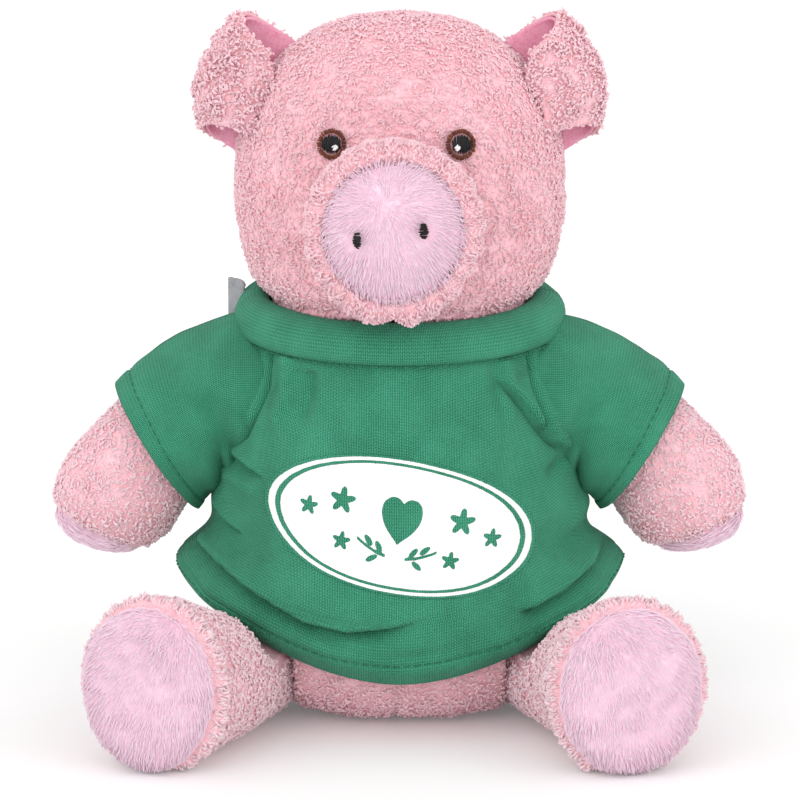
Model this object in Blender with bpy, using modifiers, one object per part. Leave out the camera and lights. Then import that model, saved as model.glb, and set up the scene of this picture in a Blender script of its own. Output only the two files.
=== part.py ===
"""A seated plush pig in a knitted shirt, built from its sewn pieces.

Metres, +Z up. The face looks to -Y and the pig's own left is +X. The origin is on the floor,
in the middle of the seat.
"""
import math

import bmesh
import bpy
from mathutils import Matrix, Vector

# Sizes that many pieces share
SEAM_GAP = 0.0003
PILE_CLOTH = 0.0015
JERSEY = 0.0012
FLAT_DEPTH = 0.0005

# Facets round and along each form; stuffing has half as many round
BODY_FACETS = (24, 13)
HEAD_FACETS = (26, 12)
MUZZLE_FACETS = (20, 12)
ARM_FACETS = (14, 10)
LEG_FACETS = (16, 13)
STITCH_FACETS = (10, 5)
IRIS_FACETS = (16, 5)
CUTTER_FACETS = 36

# Rows and columns of each sheet
EAR_GRID = (6, 10)
BAND_GRID = (3, 30)
SHIRT_GRID = (12, 15)
PRINT_GRID = (6, 12)
SLEEVE_GRID = (4, 18)

# How forms are finished
SMOOTH_ANGLE = math.radians(40)
WELD_GAP = 0.0001
SEARCH_STEPS = 30

# Body, a pear whose sizes are those of its widest level
NECK_PLANE_Z = 0.115
NECK_FLAT_DEPTH = 0.002
BODY_HALF_WIDTH = 0.059
BODY_HALF_DEPTH = 0.047
BODY_CENTRE_Y = -0.003
BODY_END_POWER = 4.5
BODY_RING_SPREAD_SHARE = 0.55
# Rows of height, half width, half depth and lean to the front, all shares of the sizes above
BODY_SHARES = (
    (0.00, 0.86, 0.90, 0.30),
    (0.18, 1.00, 1.00, 0.60),
    (0.36, 1.00, 1.02, 0.60),
    (0.50, 0.875, 0.97, 0.30),
    (0.60, 0.825, 0.90, 0.10),
    (0.80, 0.82, 0.82, -0.30),
    (0.92, 0.72, 0.76, -0.40),
    (1.00, 0.60, 0.66, -0.40),
)

# Head
HEAD_HALF_WIDTH = 0.048
HEAD_HALF_DEPTH = 0.041
HEAD_HALF_HEIGHT = 0.044
CROWN_POWER = 2.5
JAW_POWER = 2.9
CROWN_TAPER_SHARE = 0.16

# Muzzle, round about a line along Y
MUZZLE_CENTRE_X = -0.001
MUZZLE_BELOW_HEAD_MIDDLE = 0.013
MUZZLE_RADIUS = 0.0242
MUZZLE_FRONT_FROM_FACE = 0.0275
MUZZLE_ROOT_IN_HEAD = 0.014
MUZZLE_POWER = 2.6
SNOUT_DISC_SETBACK = 0.007

# Embroidery
EYE_SPACING = 0.0355
EYE_MIDDLE_X = -0.001
EYE_ABOVE_HEAD_MIDDLE = 0.0095
IRIS_RADIUS = 0.0042
IRIS_THREAD = 0.0013
IRIS_THICKNESS = 0.0007
PUPIL_THICKNESS = 0.0008
GLINT_RADIUS = 0.0008
GLINT_THICKNESS = 0.0004
GLINT_RISE = 0.0006
NOSTRIL_SPACING = 0.018
NOSTRIL_MIDDLE_TO_RIGHT = 0.0016
NOSTRIL_ABOVE_DISC_MIDDLE = 0.001
NOSTRIL_ROLL = math.radians(8)
NOSTRIL_HALF_WIDTH = 0.0014
NOSTRIL_HALF_HEIGHT = 0.0022
NOSTRIL_THICKNESS = 0.0007

# Ears, folded sheets that stand out from a line on the side of the head
EAR_BASE_TOP_ANGLE = math.radians(50)
EAR_BASE_BOTTOM_ANGLE = math.radians(8)
EAR_BASE_SET_BACK = 0.002
EAR_PILE = 0.0016
EAR_LINING = 0.0009
EAR_BASE_GAP = 0.0006
EAR_REACH_TOP = 0.0185
EAR_REACH_BOTTOM = 0.0142
EAR_END_ROUNDING_SHARE = 0.12
EAR_BACK_BULGE = 0.002
EAR_FRONT_OFFSET = 0.0125
EAR_TIP_CLEARANCE = 0.0022
EAR_TOP_RISE = 0.0005
EAR_HANDLE_SHARE = 4 / 3
EAR_ROUNDING_POWER = 4
EAR_RISE_POWER = 2

# Neck band of the shirt, a tilted oval ring
BAND_WIDTH_SHARE = 0.7525
BAND_HALF_DEPTH = 0.0402
BAND_HEIGHT = 0.011
BAND_THICKNESS = 0.0022
BAND_MIDDLE_Z = 0.1165
BAND_RISE_PER_DEPTH = 0.11

# Shirt body
SHIRT_EASE = 0.0007
SHIRT_LOOSENESS = 0.0014
HEM_FRONT_Z = 0.0175
HEM_BACK_Z = 0.013
HEM_SIDE_Z = 0.0395
HEM_FRONT_LIFT_START_SHARE = 0.42
HEM_FRONT_LIFT_END_SHARE = 0.70
HEM_BACK_LIFT_START_SHARE = 0.55
HEM_BACK_LIFT_END_SHARE = 0.95
HEM_ROLL = 0.0022
HEM_ROLL_HEIGHT = 0.012
DRAG_FOLD = 0.0007
DRAG_FOLD_COUNT = 7
YOKE_START_SHARE = 0.72

# Printed layer on the shirt front, a tilted oval
PRINT_HALF_WIDTH = 0.038
PRINT_HALF_HEIGHT = 0.0185
PRINT_MIDDLE_Z = 0.062
PRINT_TILT = math.radians(-10)
PRINT_THICKNESS = 0.0004

# Label behind the neck band
LABEL_WIDTH = 0.011
LABEL_HEIGHT = 0.0105
LABEL_THICKNESS = 0.0009
LABEL_CORNER = 0.0002
LABEL_ABOVE_SLEEVE = 0.0006
LABEL_ROUND_ANGLE = math.radians(168)

# Arms and their sleeves, which swing about a line along X
ARM_PLANE_SHARE = 0.78
SHOULDER_Y = -0.002
SHOULDER_Z = 0.0905
ARM_LENGTH = 0.068
ARM_START_ANGLE = math.radians(13)
ARM_END_ANGLE = math.radians(75)
ARM_ROOT_INSIDE = 0.004
ARM_RADIUS = 0.019
ARM_POWER = 3.0
ARM_RING_SPREAD_SHARE = 0.6
# Rows of place along the arm and radius, as shares of its length and radius
ARM_SHARES = ((0.0, 0.93), (0.3, 0.95), (0.55, 0.96), (0.8, 1.05), (1.0, 1.0))
PAW_PAD_DEPTH = 0.007
PAW_PAD_TURN = math.radians(12)
SLEEVE_ROOT_RADIUS = 0.0232
SLEEVE_HEM_RADIUS = 0.0217
SLEEVE_REACH = 0.024
SLEEVE_DROP = 0.0148
SLEEVE_DROP_POWER = 1.6
SLEEVE_HEM_TILT = math.radians(33)
SLEEVE_FOLD = 0.0006
SLEEVE_FOLD_COUNT = 3
ARMHOLE_CLEARANCE = 0.0006
ARMHOLE_FLARE = 0.6

# Legs, which swing about a line along X
HIP_PLANE_SHARE = 0.51
HIP_Y = -0.005
LEG_CENTRE_OUTSIDE_HIP = 0.007
LEG_SPLAY = math.radians(20)
LEG_REACH = 0.0885
LEG_BEHIND_HIP = 0.016
LEG_HIP_POWER = 3.4
LEG_SOLE_POWER = 7
LEG_RING_SPREAD_SHARE = 0.55
THIGH_HALF_WIDTH = 0.0175
THIGH_HALF_HEIGHT = 0.0172
FOOT_HALF_WIDTH = 0.0205
FOOT_HALF_HEIGHT = 0.0235
# Rows of place along the leg and of the way from the thigh's sizes to the foot's, as shares
LEG_SHARES = ((0.0, 0.0), (0.35, 0.0), (0.6, 0.35), (0.8, 0.85), (0.92, 1.0), (1.0, 1.0))
SOLE_DEPTH = 0.0045
HIP_POCKET_CLEARANCE = 0.0035

# Colour and roughness of each material
MATERIALS = {
    "pink_pile": ((0.83, 0.42, 0.44), 0.95),
    "lilac_pile": ((0.84, 0.51, 0.66), 0.9),
    "lilac_lining": ((0.82, 0.42, 0.58), 0.9),
    "green_jersey": ((0.03, 0.30, 0.15), 0.9),
    "white_print": ((0.86, 0.88, 0.87), 0.6),
    "grey_tape": ((0.33, 0.33, 0.35), 0.7),
    "brown_thread": ((0.14, 0.04, 0.02), 0.5),
    "black_thread": ((0.008, 0.007, 0.009), 0.4),
    "white_thread": ((0.9, 0.9, 0.9), 0.5),
    "stuffing": ((0.8, 0.8, 0.78), 1.0),
}

# Places worked out from the sizes above
ARM_PLANE_X = BODY_HALF_WIDTH * ARM_PLANE_SHARE
HIP_PLANE_X = BODY_HALF_WIDTH * HIP_PLANE_SHARE
LEG_CENTRE_AT_HIP_X = HIP_PLANE_X + LEG_CENTRE_OUTSIDE_HIP
BAND_HALF_WIDTH = BODY_HALF_WIDTH * BAND_WIDTH_SHARE
HEAD_CUT_Z = NECK_PLANE_Z + SEAM_GAP
HEAD_CENTRE_Z = HEAD_CUT_Z + HEAD_HALF_HEIGHT - NECK_FLAT_DEPTH
BODY_LOW_Z = -FLAT_DEPTH
BODY_HIGH_Z = NECK_PLANE_Z + NECK_FLAT_DEPTH
HIP_Z = THIGH_HALF_HEIGHT - FLAT_DEPTH
HIP_POCKET_RADIUS = THIGH_HALF_HEIGHT + HIP_POCKET_CLEARANCE
MUZZLE_CENTRE_Z = HEAD_CENTRE_Z - MUZZLE_BELOW_HEAD_MIDDLE
MUZZLE_FRONT_Y = -HEAD_HALF_DEPTH - MUZZLE_FRONT_FROM_FACE
MUZZLE_ROOT_Y = -HEAD_HALF_DEPTH + MUZZLE_ROOT_IN_HEAD
SNOUT_DISC_Y = MUZZLE_FRONT_Y + SNOUT_DISC_SETBACK
STUFFING_INSET = PILE_CLOTH + SEAM_GAP
WHOLE_SPAN = BODY_HALF_WIDTH + ARM_LENGTH + LEG_REACH

SIDES = {"left": 1, "right": -1}


def clear_scene():
    """Empty the file this script runs from."""
    for item in list(bpy.data.objects):
        bpy.data.objects.remove(item, do_unlink=True)


def new_collection(name):
    """A collection linked to the scene."""
    group = bpy.data.collections.new(name)
    bpy.context.scene.collection.children.link(group)
    return group


def new_material(name):
    """A plain Principled material."""
    colour, roughness = MATERIALS[name]
    material = bpy.data.materials.new(name)
    material.use_nodes = True
    shader = material.node_tree.nodes["Principled BSDF"]
    shader.inputs["Base Color"].default_value = (*colour, 1)
    shader.inputs["Roughness"].default_value = roughness
    shader.inputs["Metallic"].default_value = 0
    return material


def row_values(rows, place):
    """Values of a table of rows at a place along it, on a smooth curve through the rows."""
    last = len(rows) - 1
    index = 0
    while index < last - 1 and place > rows[index + 1][0]:
        index += 1
    start, end = rows[index], rows[index + 1]
    span = end[0] - start[0]
    step = max(0, min(1, (place - start[0]) / span))
    values = []
    for column in range(1, len(start)):
        before = rows[max(index - 1, 0)]
        after = rows[min(index + 2, last)]
        slope_in = (end[column] - before[column]) / (end[0] - before[0]) * span
        slope_out = (after[column] - start[column]) / (after[0] - start[0]) * span
        rise = end[column] - start[column]
        cubic = slope_in + slope_out - 2 * rise
        square = 3 * rise - 2 * slope_in - slope_out
        values.append(start[column] + step * (slope_in + step * (square + step * cubic)))
    return values


def blunt_end(polar, power, spread):
    """Level from 1 to -1 and reach from the axis for a blunt round form."""
    level = math.copysign(abs(math.cos(polar)) ** spread, math.cos(polar))
    return level, max(0, 1 - abs(level) ** power) ** (1 / power)


def smooth_step(value):
    """A soft step from 0 to 1."""
    value = max(0, min(1, value))
    return value * value * (3 - 2 * value)


def body_row(z):
    """Half width, half depth and middle of the body's outer surface at a height, without its round ends."""
    share = (z - BODY_LOW_Z) / (BODY_HIGH_Z - BODY_LOW_Z)
    width, depth, lean = row_values(BODY_SHARES, share)
    return BODY_HALF_WIDTH * width, BODY_HALF_DEPTH * depth, BODY_CENTRE_Y * (1 + lean)


def body_point(polar, angle, out):
    """A point of the body's surface, moved out from it."""
    level, reach = blunt_end(polar, BODY_END_POWER, BODY_RING_SPREAD_SHARE)
    half_height = (BODY_HIGH_Z - BODY_LOW_Z) / 2
    middle_z = (BODY_HIGH_Z + BODY_LOW_Z) / 2
    half_width, half_depth, middle_y = body_row(middle_z + half_height * level)
    x = (half_width + out) * reach * math.cos(angle)
    y = middle_y + (half_depth + out) * reach * math.sin(angle)
    return Vector((x, y, middle_z + (half_height + out) * level))


def head_point(polar, angle, out):
    """A point of the head's surface, moved out from it."""
    height = math.cos(polar)
    power = CROWN_POWER if height > 0 else JAW_POWER
    level = math.copysign(abs(height) ** (2 / power), height)
    reach = max(0, math.sin(polar)) ** (2 / power)
    taper = 1 - CROWN_TAPER_SHARE * max(level, 0) ** 2
    x = (HEAD_HALF_WIDTH * taper + out) * reach * math.cos(angle)
    y = (HEAD_HALF_DEPTH + out) * reach * math.sin(angle)
    return Vector((x, y, HEAD_CENTRE_Z + (HEAD_HALF_HEIGHT + out) * level))


def head_front_point(x, z, out):
    """The point of the head's front surface straight behind a place seen from the front."""
    level = (z - HEAD_CENTRE_Z) / (HEAD_HALF_HEIGHT + out)
    power = CROWN_POWER if level > 0 else JAW_POWER
    reach = (1 - abs(level) ** power) ** (1 / power)
    taper = 1 - CROWN_TAPER_SHARE * max(level, 0) ** 2
    across = x / (HEAD_HALF_WIDTH * taper + out)
    return Vector((x, -(HEAD_HALF_DEPTH + out) * math.sqrt(reach ** 2 - across ** 2), z))


def muzzle_point(polar, angle, out):
    """A point of the muzzle's surface, moved out from it. Its poles lie along Y."""
    level = math.copysign(abs(math.cos(polar)) ** (2 / MUZZLE_POWER), math.cos(polar))
    reach = max(0, math.sin(polar)) ** (2 / MUZZLE_POWER)
    half_length = (MUZZLE_ROOT_Y - MUZZLE_FRONT_Y) / 2 + out
    middle_y = (MUZZLE_ROOT_Y + MUZZLE_FRONT_Y) / 2
    radius = (MUZZLE_RADIUS + out) * reach
    x = MUZZLE_CENTRE_X + radius * math.cos(angle)
    z = MUZZLE_CENTRE_Z + radius * math.sin(angle)
    return Vector((x, middle_y - half_length * level, z))


def muzzle_front_point(x, z, out):
    """The point of the muzzle's front straight behind a place seen from the front."""
    radius = math.hypot(x - MUZZLE_CENTRE_X, z - MUZZLE_CENTRE_Z) / (MUZZLE_RADIUS + out)
    half_length = (MUZZLE_ROOT_Y - MUZZLE_FRONT_Y) / 2 + out
    middle_y = (MUZZLE_ROOT_Y + MUZZLE_FRONT_Y) / 2
    level = (1 - radius ** MUZZLE_POWER) ** (1 / MUZZLE_POWER)
    return Vector((x, middle_y - half_length * level, z))


def arm_axis(share):
    """Middle and direction of the left arm at a place along it."""
    radius = ARM_LENGTH / (ARM_END_ANGLE - ARM_START_ANGLE)
    angle = ARM_START_ANGLE + (ARM_END_ANGLE - ARM_START_ANGLE) * share
    x = ARM_PLANE_X - ARM_ROOT_INSIDE + radius * (math.sin(angle) - math.sin(ARM_START_ANGLE))
    z = SHOULDER_Z + radius * (math.cos(angle) - math.cos(ARM_START_ANGLE))
    return Vector((x, SHOULDER_Y, z)), Vector((math.cos(angle), 0, -math.sin(angle)))


def arm_point(polar, angle, out):
    """A point of the left arm's surface, moved out from it. The hand is at the far pole."""
    level, reach = blunt_end(polar, ARM_POWER, ARM_RING_SPREAD_SHARE)
    share = (1 - level) / 2
    middle, along = arm_axis(share)
    upward = Vector((-along.z, 0, along.x))
    radius = (ARM_RADIUS * row_values(ARM_SHARES, share)[0] + out) * reach
    sideways = Vector((0, 1, 0)) * math.sin(angle)
    return middle - along * out * level + (upward * math.cos(angle) + sideways) * radius


def leg_along():
    """Direction of the left leg from hip to foot."""
    return Vector((math.sin(LEG_SPLAY), -math.cos(LEG_SPLAY), 0))


def leg_point(polar, angle, out):
    """A point of the left leg's surface, moved out from it. The foot is at the far pole."""
    power = LEG_HIP_POWER if math.cos(polar) > 0 else LEG_SOLE_POWER
    level, reach = blunt_end(polar, power, LEG_RING_SPREAD_SHARE)
    share = (1 - level) / 2
    way = row_values(LEG_SHARES, share)[0]
    half_width = THIGH_HALF_WIDTH + (FOOT_HALF_WIDTH - THIGH_HALF_WIDTH) * way
    half_height = THIGH_HALF_HEIGHT + (FOOT_HALF_HEIGHT - THIGH_HALF_HEIGHT) * way
    distance = -LEG_BEHIND_HIP + (LEG_REACH + LEG_BEHIND_HIP) * share - out * level
    along = leg_along()
    outward = Vector((-along.y, along.x, 0))
    point = Vector((LEG_CENTRE_AT_HIP_X, HIP_Y, half_height - FLAT_DEPTH)) + along * distance
    point += outward * (half_width + out) * reach * math.cos(angle)
    return point + Vector((0, 0, (half_height + out) * reach * math.sin(angle)))


def round_form(facets, place, out, floor=None):
    """A UV sphere with each point moved to its place on a form, cut flat at the floor if it has one."""
    form = bmesh.new()
    bmesh.ops.create_uvsphere(form, u_segments=facets[0], v_segments=facets[1], radius=1)
    for vert in form.verts:
        polar = math.acos(max(-1, min(1, vert.co.z)))
        vert.co = place(polar, math.atan2(vert.co.y, vert.co.x), out)
    if floor is not None:
        everything = list(form.verts) + list(form.edges) + list(form.faces)
        bmesh.ops.bisect_plane(
            form, geom=everything, plane_co=(0, 0, floor), plane_no=(0, 0, 1), clear_inner=True)
        rim = [edge for edge in form.edges if edge.is_boundary]
        bmesh.ops.holes_fill(form, edges=rim, sides=len(rim))
    bmesh.ops.recalc_face_normals(form, faces=form.faces)
    return form


def to_mesh(name, form):
    """A mesh of a bmesh, which is freed."""
    mesh = bpy.data.meshes.new(name)
    form.to_mesh(mesh)
    form.free()
    return mesh


def new_object(name, mesh, material, group):
    """An object of a mesh, with smooth shading where the surface is round."""
    item = bpy.data.objects.new(name, mesh)
    group.objects.link(item)
    if material is not None:
        mesh.materials.append(material)
    mesh.shade_smooth()
    mesh.set_sharp_from_angle(angle=SMOOTH_ANGLE)
    return item


def stuffing_mesh(name, facets, place, floor=None):
    """A mesh of the stuffing inside a skin, whose corners lie behind the skin's corners."""
    coarse = (facets[0] // 2, facets[1])
    return to_mesh(name, round_form(coarse, place, -STUFFING_INSET, floor))


def hollow_form(name, facets, place, thickness, floor=None):
    """A mesh of a skin: the outer surface, and the inner one facing in."""
    outer = round_form(facets, place, 0, floor)
    inner = round_form(facets, place, -thickness, None if floor is None else floor + thickness)
    bmesh.ops.reverse_faces(inner, faces=inner.faces)
    inner_mesh = to_mesh(name, inner)
    outer.from_mesh(inner_mesh)
    bpy.data.meshes.remove(inner_mesh)
    return to_mesh(name, outer)


def mirror_mesh(mesh):
    """Turn a left piece's mesh into the right one's."""
    mesh.transform(Matrix.Diagonal((-1, 1, 1, 1)))
    mesh.flip_normals()


def new_cutter(name, mesh, group):
    """An object that only cuts others."""
    item = bpy.data.objects.new(name, mesh)
    group.objects.link(item)
    item.hide_render = True
    item.display_type = "WIRE"
    return item


def half_space(name, point, direction, group):
    """A block that fills the side of a plane that a direction points to."""
    block = bmesh.new()
    bmesh.ops.create_cube(block, size=2 * WHOLE_SPAN)
    turn = Vector((0, 0, 1)).rotation_difference(Vector(direction)).to_matrix().to_4x4()
    middle = Vector(point) + Vector(direction).normalized() * WHOLE_SPAN
    bmesh.ops.transform(block, matrix=Matrix.Translation(middle) @ turn, verts=block.verts)
    return new_cutter(name, to_mesh(name, block), group)


def carve(item, cutter):
    """Take a cutter's shape away from an object."""
    cut = item.modifiers.new(cutter.name, "BOOLEAN")
    cut.operation = "DIFFERENCE"
    cut.solver = "EXACT"
    cut.object = cutter
    return item


def form_cutter(name, facets, place, out, group):
    """A cutter with the shape of a form."""
    return new_cutter(name, to_mesh(name, round_form(facets, place, out)), group)


def armhole_cutter(side, gap, group):
    """A cone about the shoulder line that clears the sleeve and the arm through their swing."""
    start_radius = SLEEVE_ROOT_RADIUS + ARMHOLE_CLEARANCE
    length = WHOLE_SPAN
    cone = bmesh.new()
    bmesh.ops.create_cone(
        cone, cap_ends=True, segments=CUTTER_FACETS, radius1=start_radius,
        radius2=start_radius + length * ARMHOLE_FLARE, depth=length)
    turn = Vector((0, 0, 1)).rotation_difference(Vector((side, 0, 0))).to_matrix().to_4x4()
    middle = Vector((side * (ARM_PLANE_X - gap + length / 2), SHOULDER_Y, SHOULDER_Z))
    bmesh.ops.transform(cone, matrix=Matrix.Translation(middle) @ turn, verts=cone.verts)
    return new_cutter("armhole_cutter", to_mesh("armhole_cutter", cone), group)


def hip_pocket_cutters(side, gap, group):
    """The room in the body for a leg's root and its swing: a round pocket and the space before it."""
    length = WHOLE_SPAN
    middle_x = side * (HIP_PLANE_X - gap + length / 2)
    drum = bmesh.new()
    bmesh.ops.create_cone(
        drum, cap_ends=True, segments=CUTTER_FACETS, radius1=HIP_POCKET_RADIUS,
        radius2=HIP_POCKET_RADIUS, depth=length)
    turn = Matrix.Rotation(math.pi / 2, 4, "Y")
    place = Matrix.Translation((middle_x, HIP_Y, HIP_Z))
    bmesh.ops.transform(drum, matrix=place @ turn, verts=drum.verts)
    block = bmesh.new()
    bmesh.ops.create_cube(block, size=1)
    high = 2 * HIP_POCKET_RADIUS
    scale = Matrix.Diagonal((length, length, high, 1))
    place = Matrix.Translation((middle_x, HIP_Y - length / 2, HIP_Z))
    bmesh.ops.transform(block, matrix=place @ scale, verts=block.verts)
    drum_cutter = new_cutter("hip_drum_cutter", to_mesh("hip_drum_cutter", drum), group)
    block_cutter = new_cutter("hip_block_cutter", to_mesh("hip_block_cutter", block), group)
    return drum_cutter, block_cutter


def build_body(parts, cutters, pile, stuffing):
    """The body's front and back panels and its stuffing."""
    half_gap = SEAM_GAP / 2
    shared = [half_space("neck_cutter", (0, 0, NECK_PLANE_Z), (0, 0, 1), cutters)]
    for side in SIDES.values():
        shared.append(armhole_cutter(side, half_gap, cutters))
        shared.extend(hip_pocket_cutters(side, half_gap, cutters))
    for name, facing in (("torso_front_skin", -1), ("torso_back_skin", 1)):
        mesh = hollow_form(name, BODY_FACETS, body_point, PILE_CLOTH, floor=0)
        skin = new_object(name, mesh, pile, parts)
        other_half = half_space(
            name + "_cutter", (0, BODY_CENTRE_Y + facing * half_gap, 0), (0, -facing, 0), cutters)
        for cutter in [other_half] + shared:
            carve(skin, cutter)
    mesh = stuffing_mesh("torso_stuffing", BODY_FACETS, body_point, floor=STUFFING_INSET)
    fill = new_object("torso_stuffing", mesh, stuffing, parts)
    for cutter in shared:
        carve(fill, cutter)


def build_head(parts, cutters, pile, stuffing):
    """The face panel, the back of the head and the stuffing between them."""
    half_gap = SEAM_GAP / 2
    neck = half_space("head_cutter", (0, 0, HEAD_CUT_Z), (0, 0, -1), cutters)
    for name, facing in (("face_skin", -1), ("head_back_skin", 1)):
        mesh = hollow_form(name, HEAD_FACETS, head_point, PILE_CLOTH)
        skin = new_object(name, mesh, pile, parts)
        other_half = half_space(name + "_cutter", (0, facing * half_gap, 0), (0, -facing, 0), cutters)
        carve(skin, other_half)
        carve(skin, neck)
    mesh = stuffing_mesh("head_stuffing", HEAD_FACETS, head_point)
    carve(new_object("head_stuffing", mesh, stuffing, parts), neck)


def build_muzzle(parts, cutters, pile, long_pile, stuffing):
    """The muzzle's gusset, the snout disc that closes it and its stuffing."""
    half_gap = SEAM_GAP / 2
    head = form_cutter("muzzle_root_cutter", HEAD_FACETS, head_point, SEAM_GAP, cutters)
    front = half_space("muzzle_front_cutter", (0, SNOUT_DISC_Y + half_gap, 0), (0, -1, 0), cutters)
    behind = half_space("snout_back_cutter", (0, SNOUT_DISC_Y - half_gap, 0), (0, 1, 0), cutters)
    skin_mesh = hollow_form("muzzle_skin", MUZZLE_FACETS, muzzle_point, PILE_CLOTH)
    skin = new_object("muzzle_skin", skin_mesh, pile, parts)
    carve(carve(skin, head), front)
    disc_mesh = hollow_form("snout_disc", MUZZLE_FACETS, muzzle_point, PILE_CLOTH)
    carve(new_object("snout_disc", disc_mesh, long_pile, parts), behind)
    mesh = stuffing_mesh("muzzle_stuffing", MUZZLE_FACETS, muzzle_point)
    carve(new_object("muzzle_stuffing", mesh, stuffing, parts), head)


def facing_matrix(point, normal):
    """A place on a surface, with local Z along its normal and local Y upward."""
    normal = normal.normalized()
    across = Vector((0, 0, 1)).cross(normal).normalized()
    upward = normal.cross(across)
    turn = Matrix((across, upward, normal)).transposed().to_4x4()
    return Matrix.Translation(point) @ turn


def surface_place(surface, x, z, rise):
    """A place a given height above a front surface, and the way that surface faces there."""
    step = SEAM_GAP
    point = surface(x, z, 0)
    across = surface(x + step, z, 0) - point
    upward = surface(x, z + step, 0) - point
    normal = across.cross(upward).normalized()
    return facing_matrix(point + normal * rise, normal)


def lens(name, half_width, half_height, thickness, place, material, parts):
    """A flat rounded pad of stitches."""
    form = bmesh.new()
    bmesh.ops.create_uvsphere(
        form, u_segments=STITCH_FACETS[0], v_segments=STITCH_FACETS[1], radius=1)
    scale = Matrix.Diagonal((half_width, half_height, thickness / 2, 1))
    bmesh.ops.transform(form, matrix=scale, verts=form.verts)
    item = new_object(name, to_mesh(name, form), material, parts)
    item.matrix_world = place
    return item


def ring(name, radius, thread, thickness, place, material, parts):
    """A flat ring of stitches."""
    bpy.ops.mesh.primitive_torus_add(
        major_segments=IRIS_FACETS[0], minor_segments=IRIS_FACETS[1],
        major_radius=radius, minor_radius=thread / 2)
    item = bpy.context.object
    item.name = name
    for group in list(item.users_collection):
        group.objects.unlink(item)
    parts.objects.link(item)
    item.data.name = name
    item.data.transform(Matrix.Diagonal((1, 1, thickness / thread, 1)))
    item.data.materials.append(material)
    item.data.shade_smooth()
    item.matrix_world = place
    return item


def build_eyes(parts, iris_thread, black_thread, white_thread):
    """Two embroidered eyes."""
    eye_z = HEAD_CENTRE_Z + EYE_ABOVE_HEAD_MIDDLE
    ring_radius = IRIS_RADIUS - IRIS_THREAD / 2
    pupil_radius = IRIS_RADIUS - IRIS_THREAD - SEAM_GAP
    for name, side in SIDES.items():
        eye_x = EYE_MIDDLE_X + side * EYE_SPACING / 2
        rise = SEAM_GAP + IRIS_THICKNESS / 2
        place = surface_place(head_front_point, eye_x, eye_z, rise)
        ring("eye_iris_" + name, ring_radius, IRIS_THREAD, IRIS_THICKNESS, place, iris_thread, parts)
        rise = SEAM_GAP + PUPIL_THICKNESS / 2
        place = surface_place(head_front_point, eye_x, eye_z, rise)
        lens("eye_pupil_" + name, pupil_radius, pupil_radius, PUPIL_THICKNESS, place, black_thread, parts)
        rise = 2 * SEAM_GAP + PUPIL_THICKNESS + GLINT_THICKNESS / 2
        place = surface_place(head_front_point, eye_x, eye_z, rise)
        place = place @ Matrix.Translation((0, GLINT_RISE, 0))
        lens("eye_glint_" + name, GLINT_RADIUS, GLINT_RADIUS, GLINT_THICKNESS, place, white_thread, parts)


def build_nostrils(parts, black_thread):
    """Two embroidered nostrils on the snout disc."""
    for name, side in SIDES.items():
        along = side * NOSTRIL_SPACING / 2
        x = MUZZLE_CENTRE_X - NOSTRIL_MIDDLE_TO_RIGHT + along * math.cos(NOSTRIL_ROLL)
        z = MUZZLE_CENTRE_Z + NOSTRIL_ABOVE_DISC_MIDDLE + along * math.sin(NOSTRIL_ROLL)
        rise = SEAM_GAP + NOSTRIL_THICKNESS / 2
        place = surface_place(muzzle_front_point, x, z, rise)
        lens("nostril_" + name, NOSTRIL_HALF_WIDTH, NOSTRIL_HALF_HEIGHT,
             NOSTRIL_THICKNESS, place, black_thread, parts)


def ear_base(share):
    """A point of the left ear's base line on the side of the head, from top to bottom."""
    angle = EAR_BASE_TOP_ANGLE + (EAR_BASE_BOTTOM_ANGLE - EAR_BASE_TOP_ANGLE) * share
    point = head_point(math.pi / 2 - angle, 0, EAR_BASE_GAP)
    return point + Vector((0, EAR_BASE_SET_BACK, 0))


def ear_inner_point(share, across):
    """A point of the left ear's inner face: share runs down the base line, and across runs from
    the base out to the fold and back to the free edge in front."""
    base = ear_base(share)
    down = (ear_base(1) - ear_base(0)).normalized()
    outward = Vector((-down.z, 0, down.x))
    backward = Vector((0, 1, 0))
    reach = EAR_REACH_TOP + (EAR_REACH_BOTTOM - EAR_REACH_TOP) * share
    reach *= 1 - EAR_END_ROUNDING_SHARE * (2 * share - 1) ** EAR_ROUNDING_POWER
    lift = -down * EAR_TOP_RISE * (1 - share) ** EAR_RISE_POWER
    front = base + outward * EAR_TIP_CLEARANCE - backward * EAR_FRONT_OFFSET
    handle_back = base + (outward * reach + backward * EAR_BACK_BULGE + lift) * EAR_HANDLE_SHARE
    handle_front = front + (outward * reach + lift) * EAR_HANDLE_SHARE
    rest = 1 - across
    point = base * rest ** 3 + handle_back * 3 * rest ** 2 * across
    return point + handle_front * 3 * rest * across ** 2 + front * across ** 3


def ear_point(share, across, layer):
    """A point of the left ear a given distance out from its inner face."""
    step = SEAM_GAP / EAR_REACH_TOP
    near, far = max(0, share - step), min(1, share + step)
    down = ear_inner_point(far, across) - ear_inner_point(near, across)
    near, far = max(0, across - step), min(1, across + step)
    way = ear_inner_point(share, far) - ear_inner_point(share, near)
    return ear_inner_point(share, across) + way.cross(down).normalized() * layer


def sheet_mesh(name, size, place, wrap=False):
    """The middle surface of a sheet of cloth, a grid with each point moved to its place."""
    rows, columns = size
    grid = bmesh.new()
    bmesh.ops.create_grid(grid, x_segments=columns, y_segments=rows, size=1)
    for vert in grid.verts:
        vert.co = place((vert.co.x + 1) / 2, (vert.co.y + 1) / 2)
    if wrap:
        bmesh.ops.remove_doubles(grid, verts=grid.verts, dist=WELD_GAP)
    bmesh.ops.recalc_face_normals(grid, faces=grid.faces)
    return to_mesh(name, grid)


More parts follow.
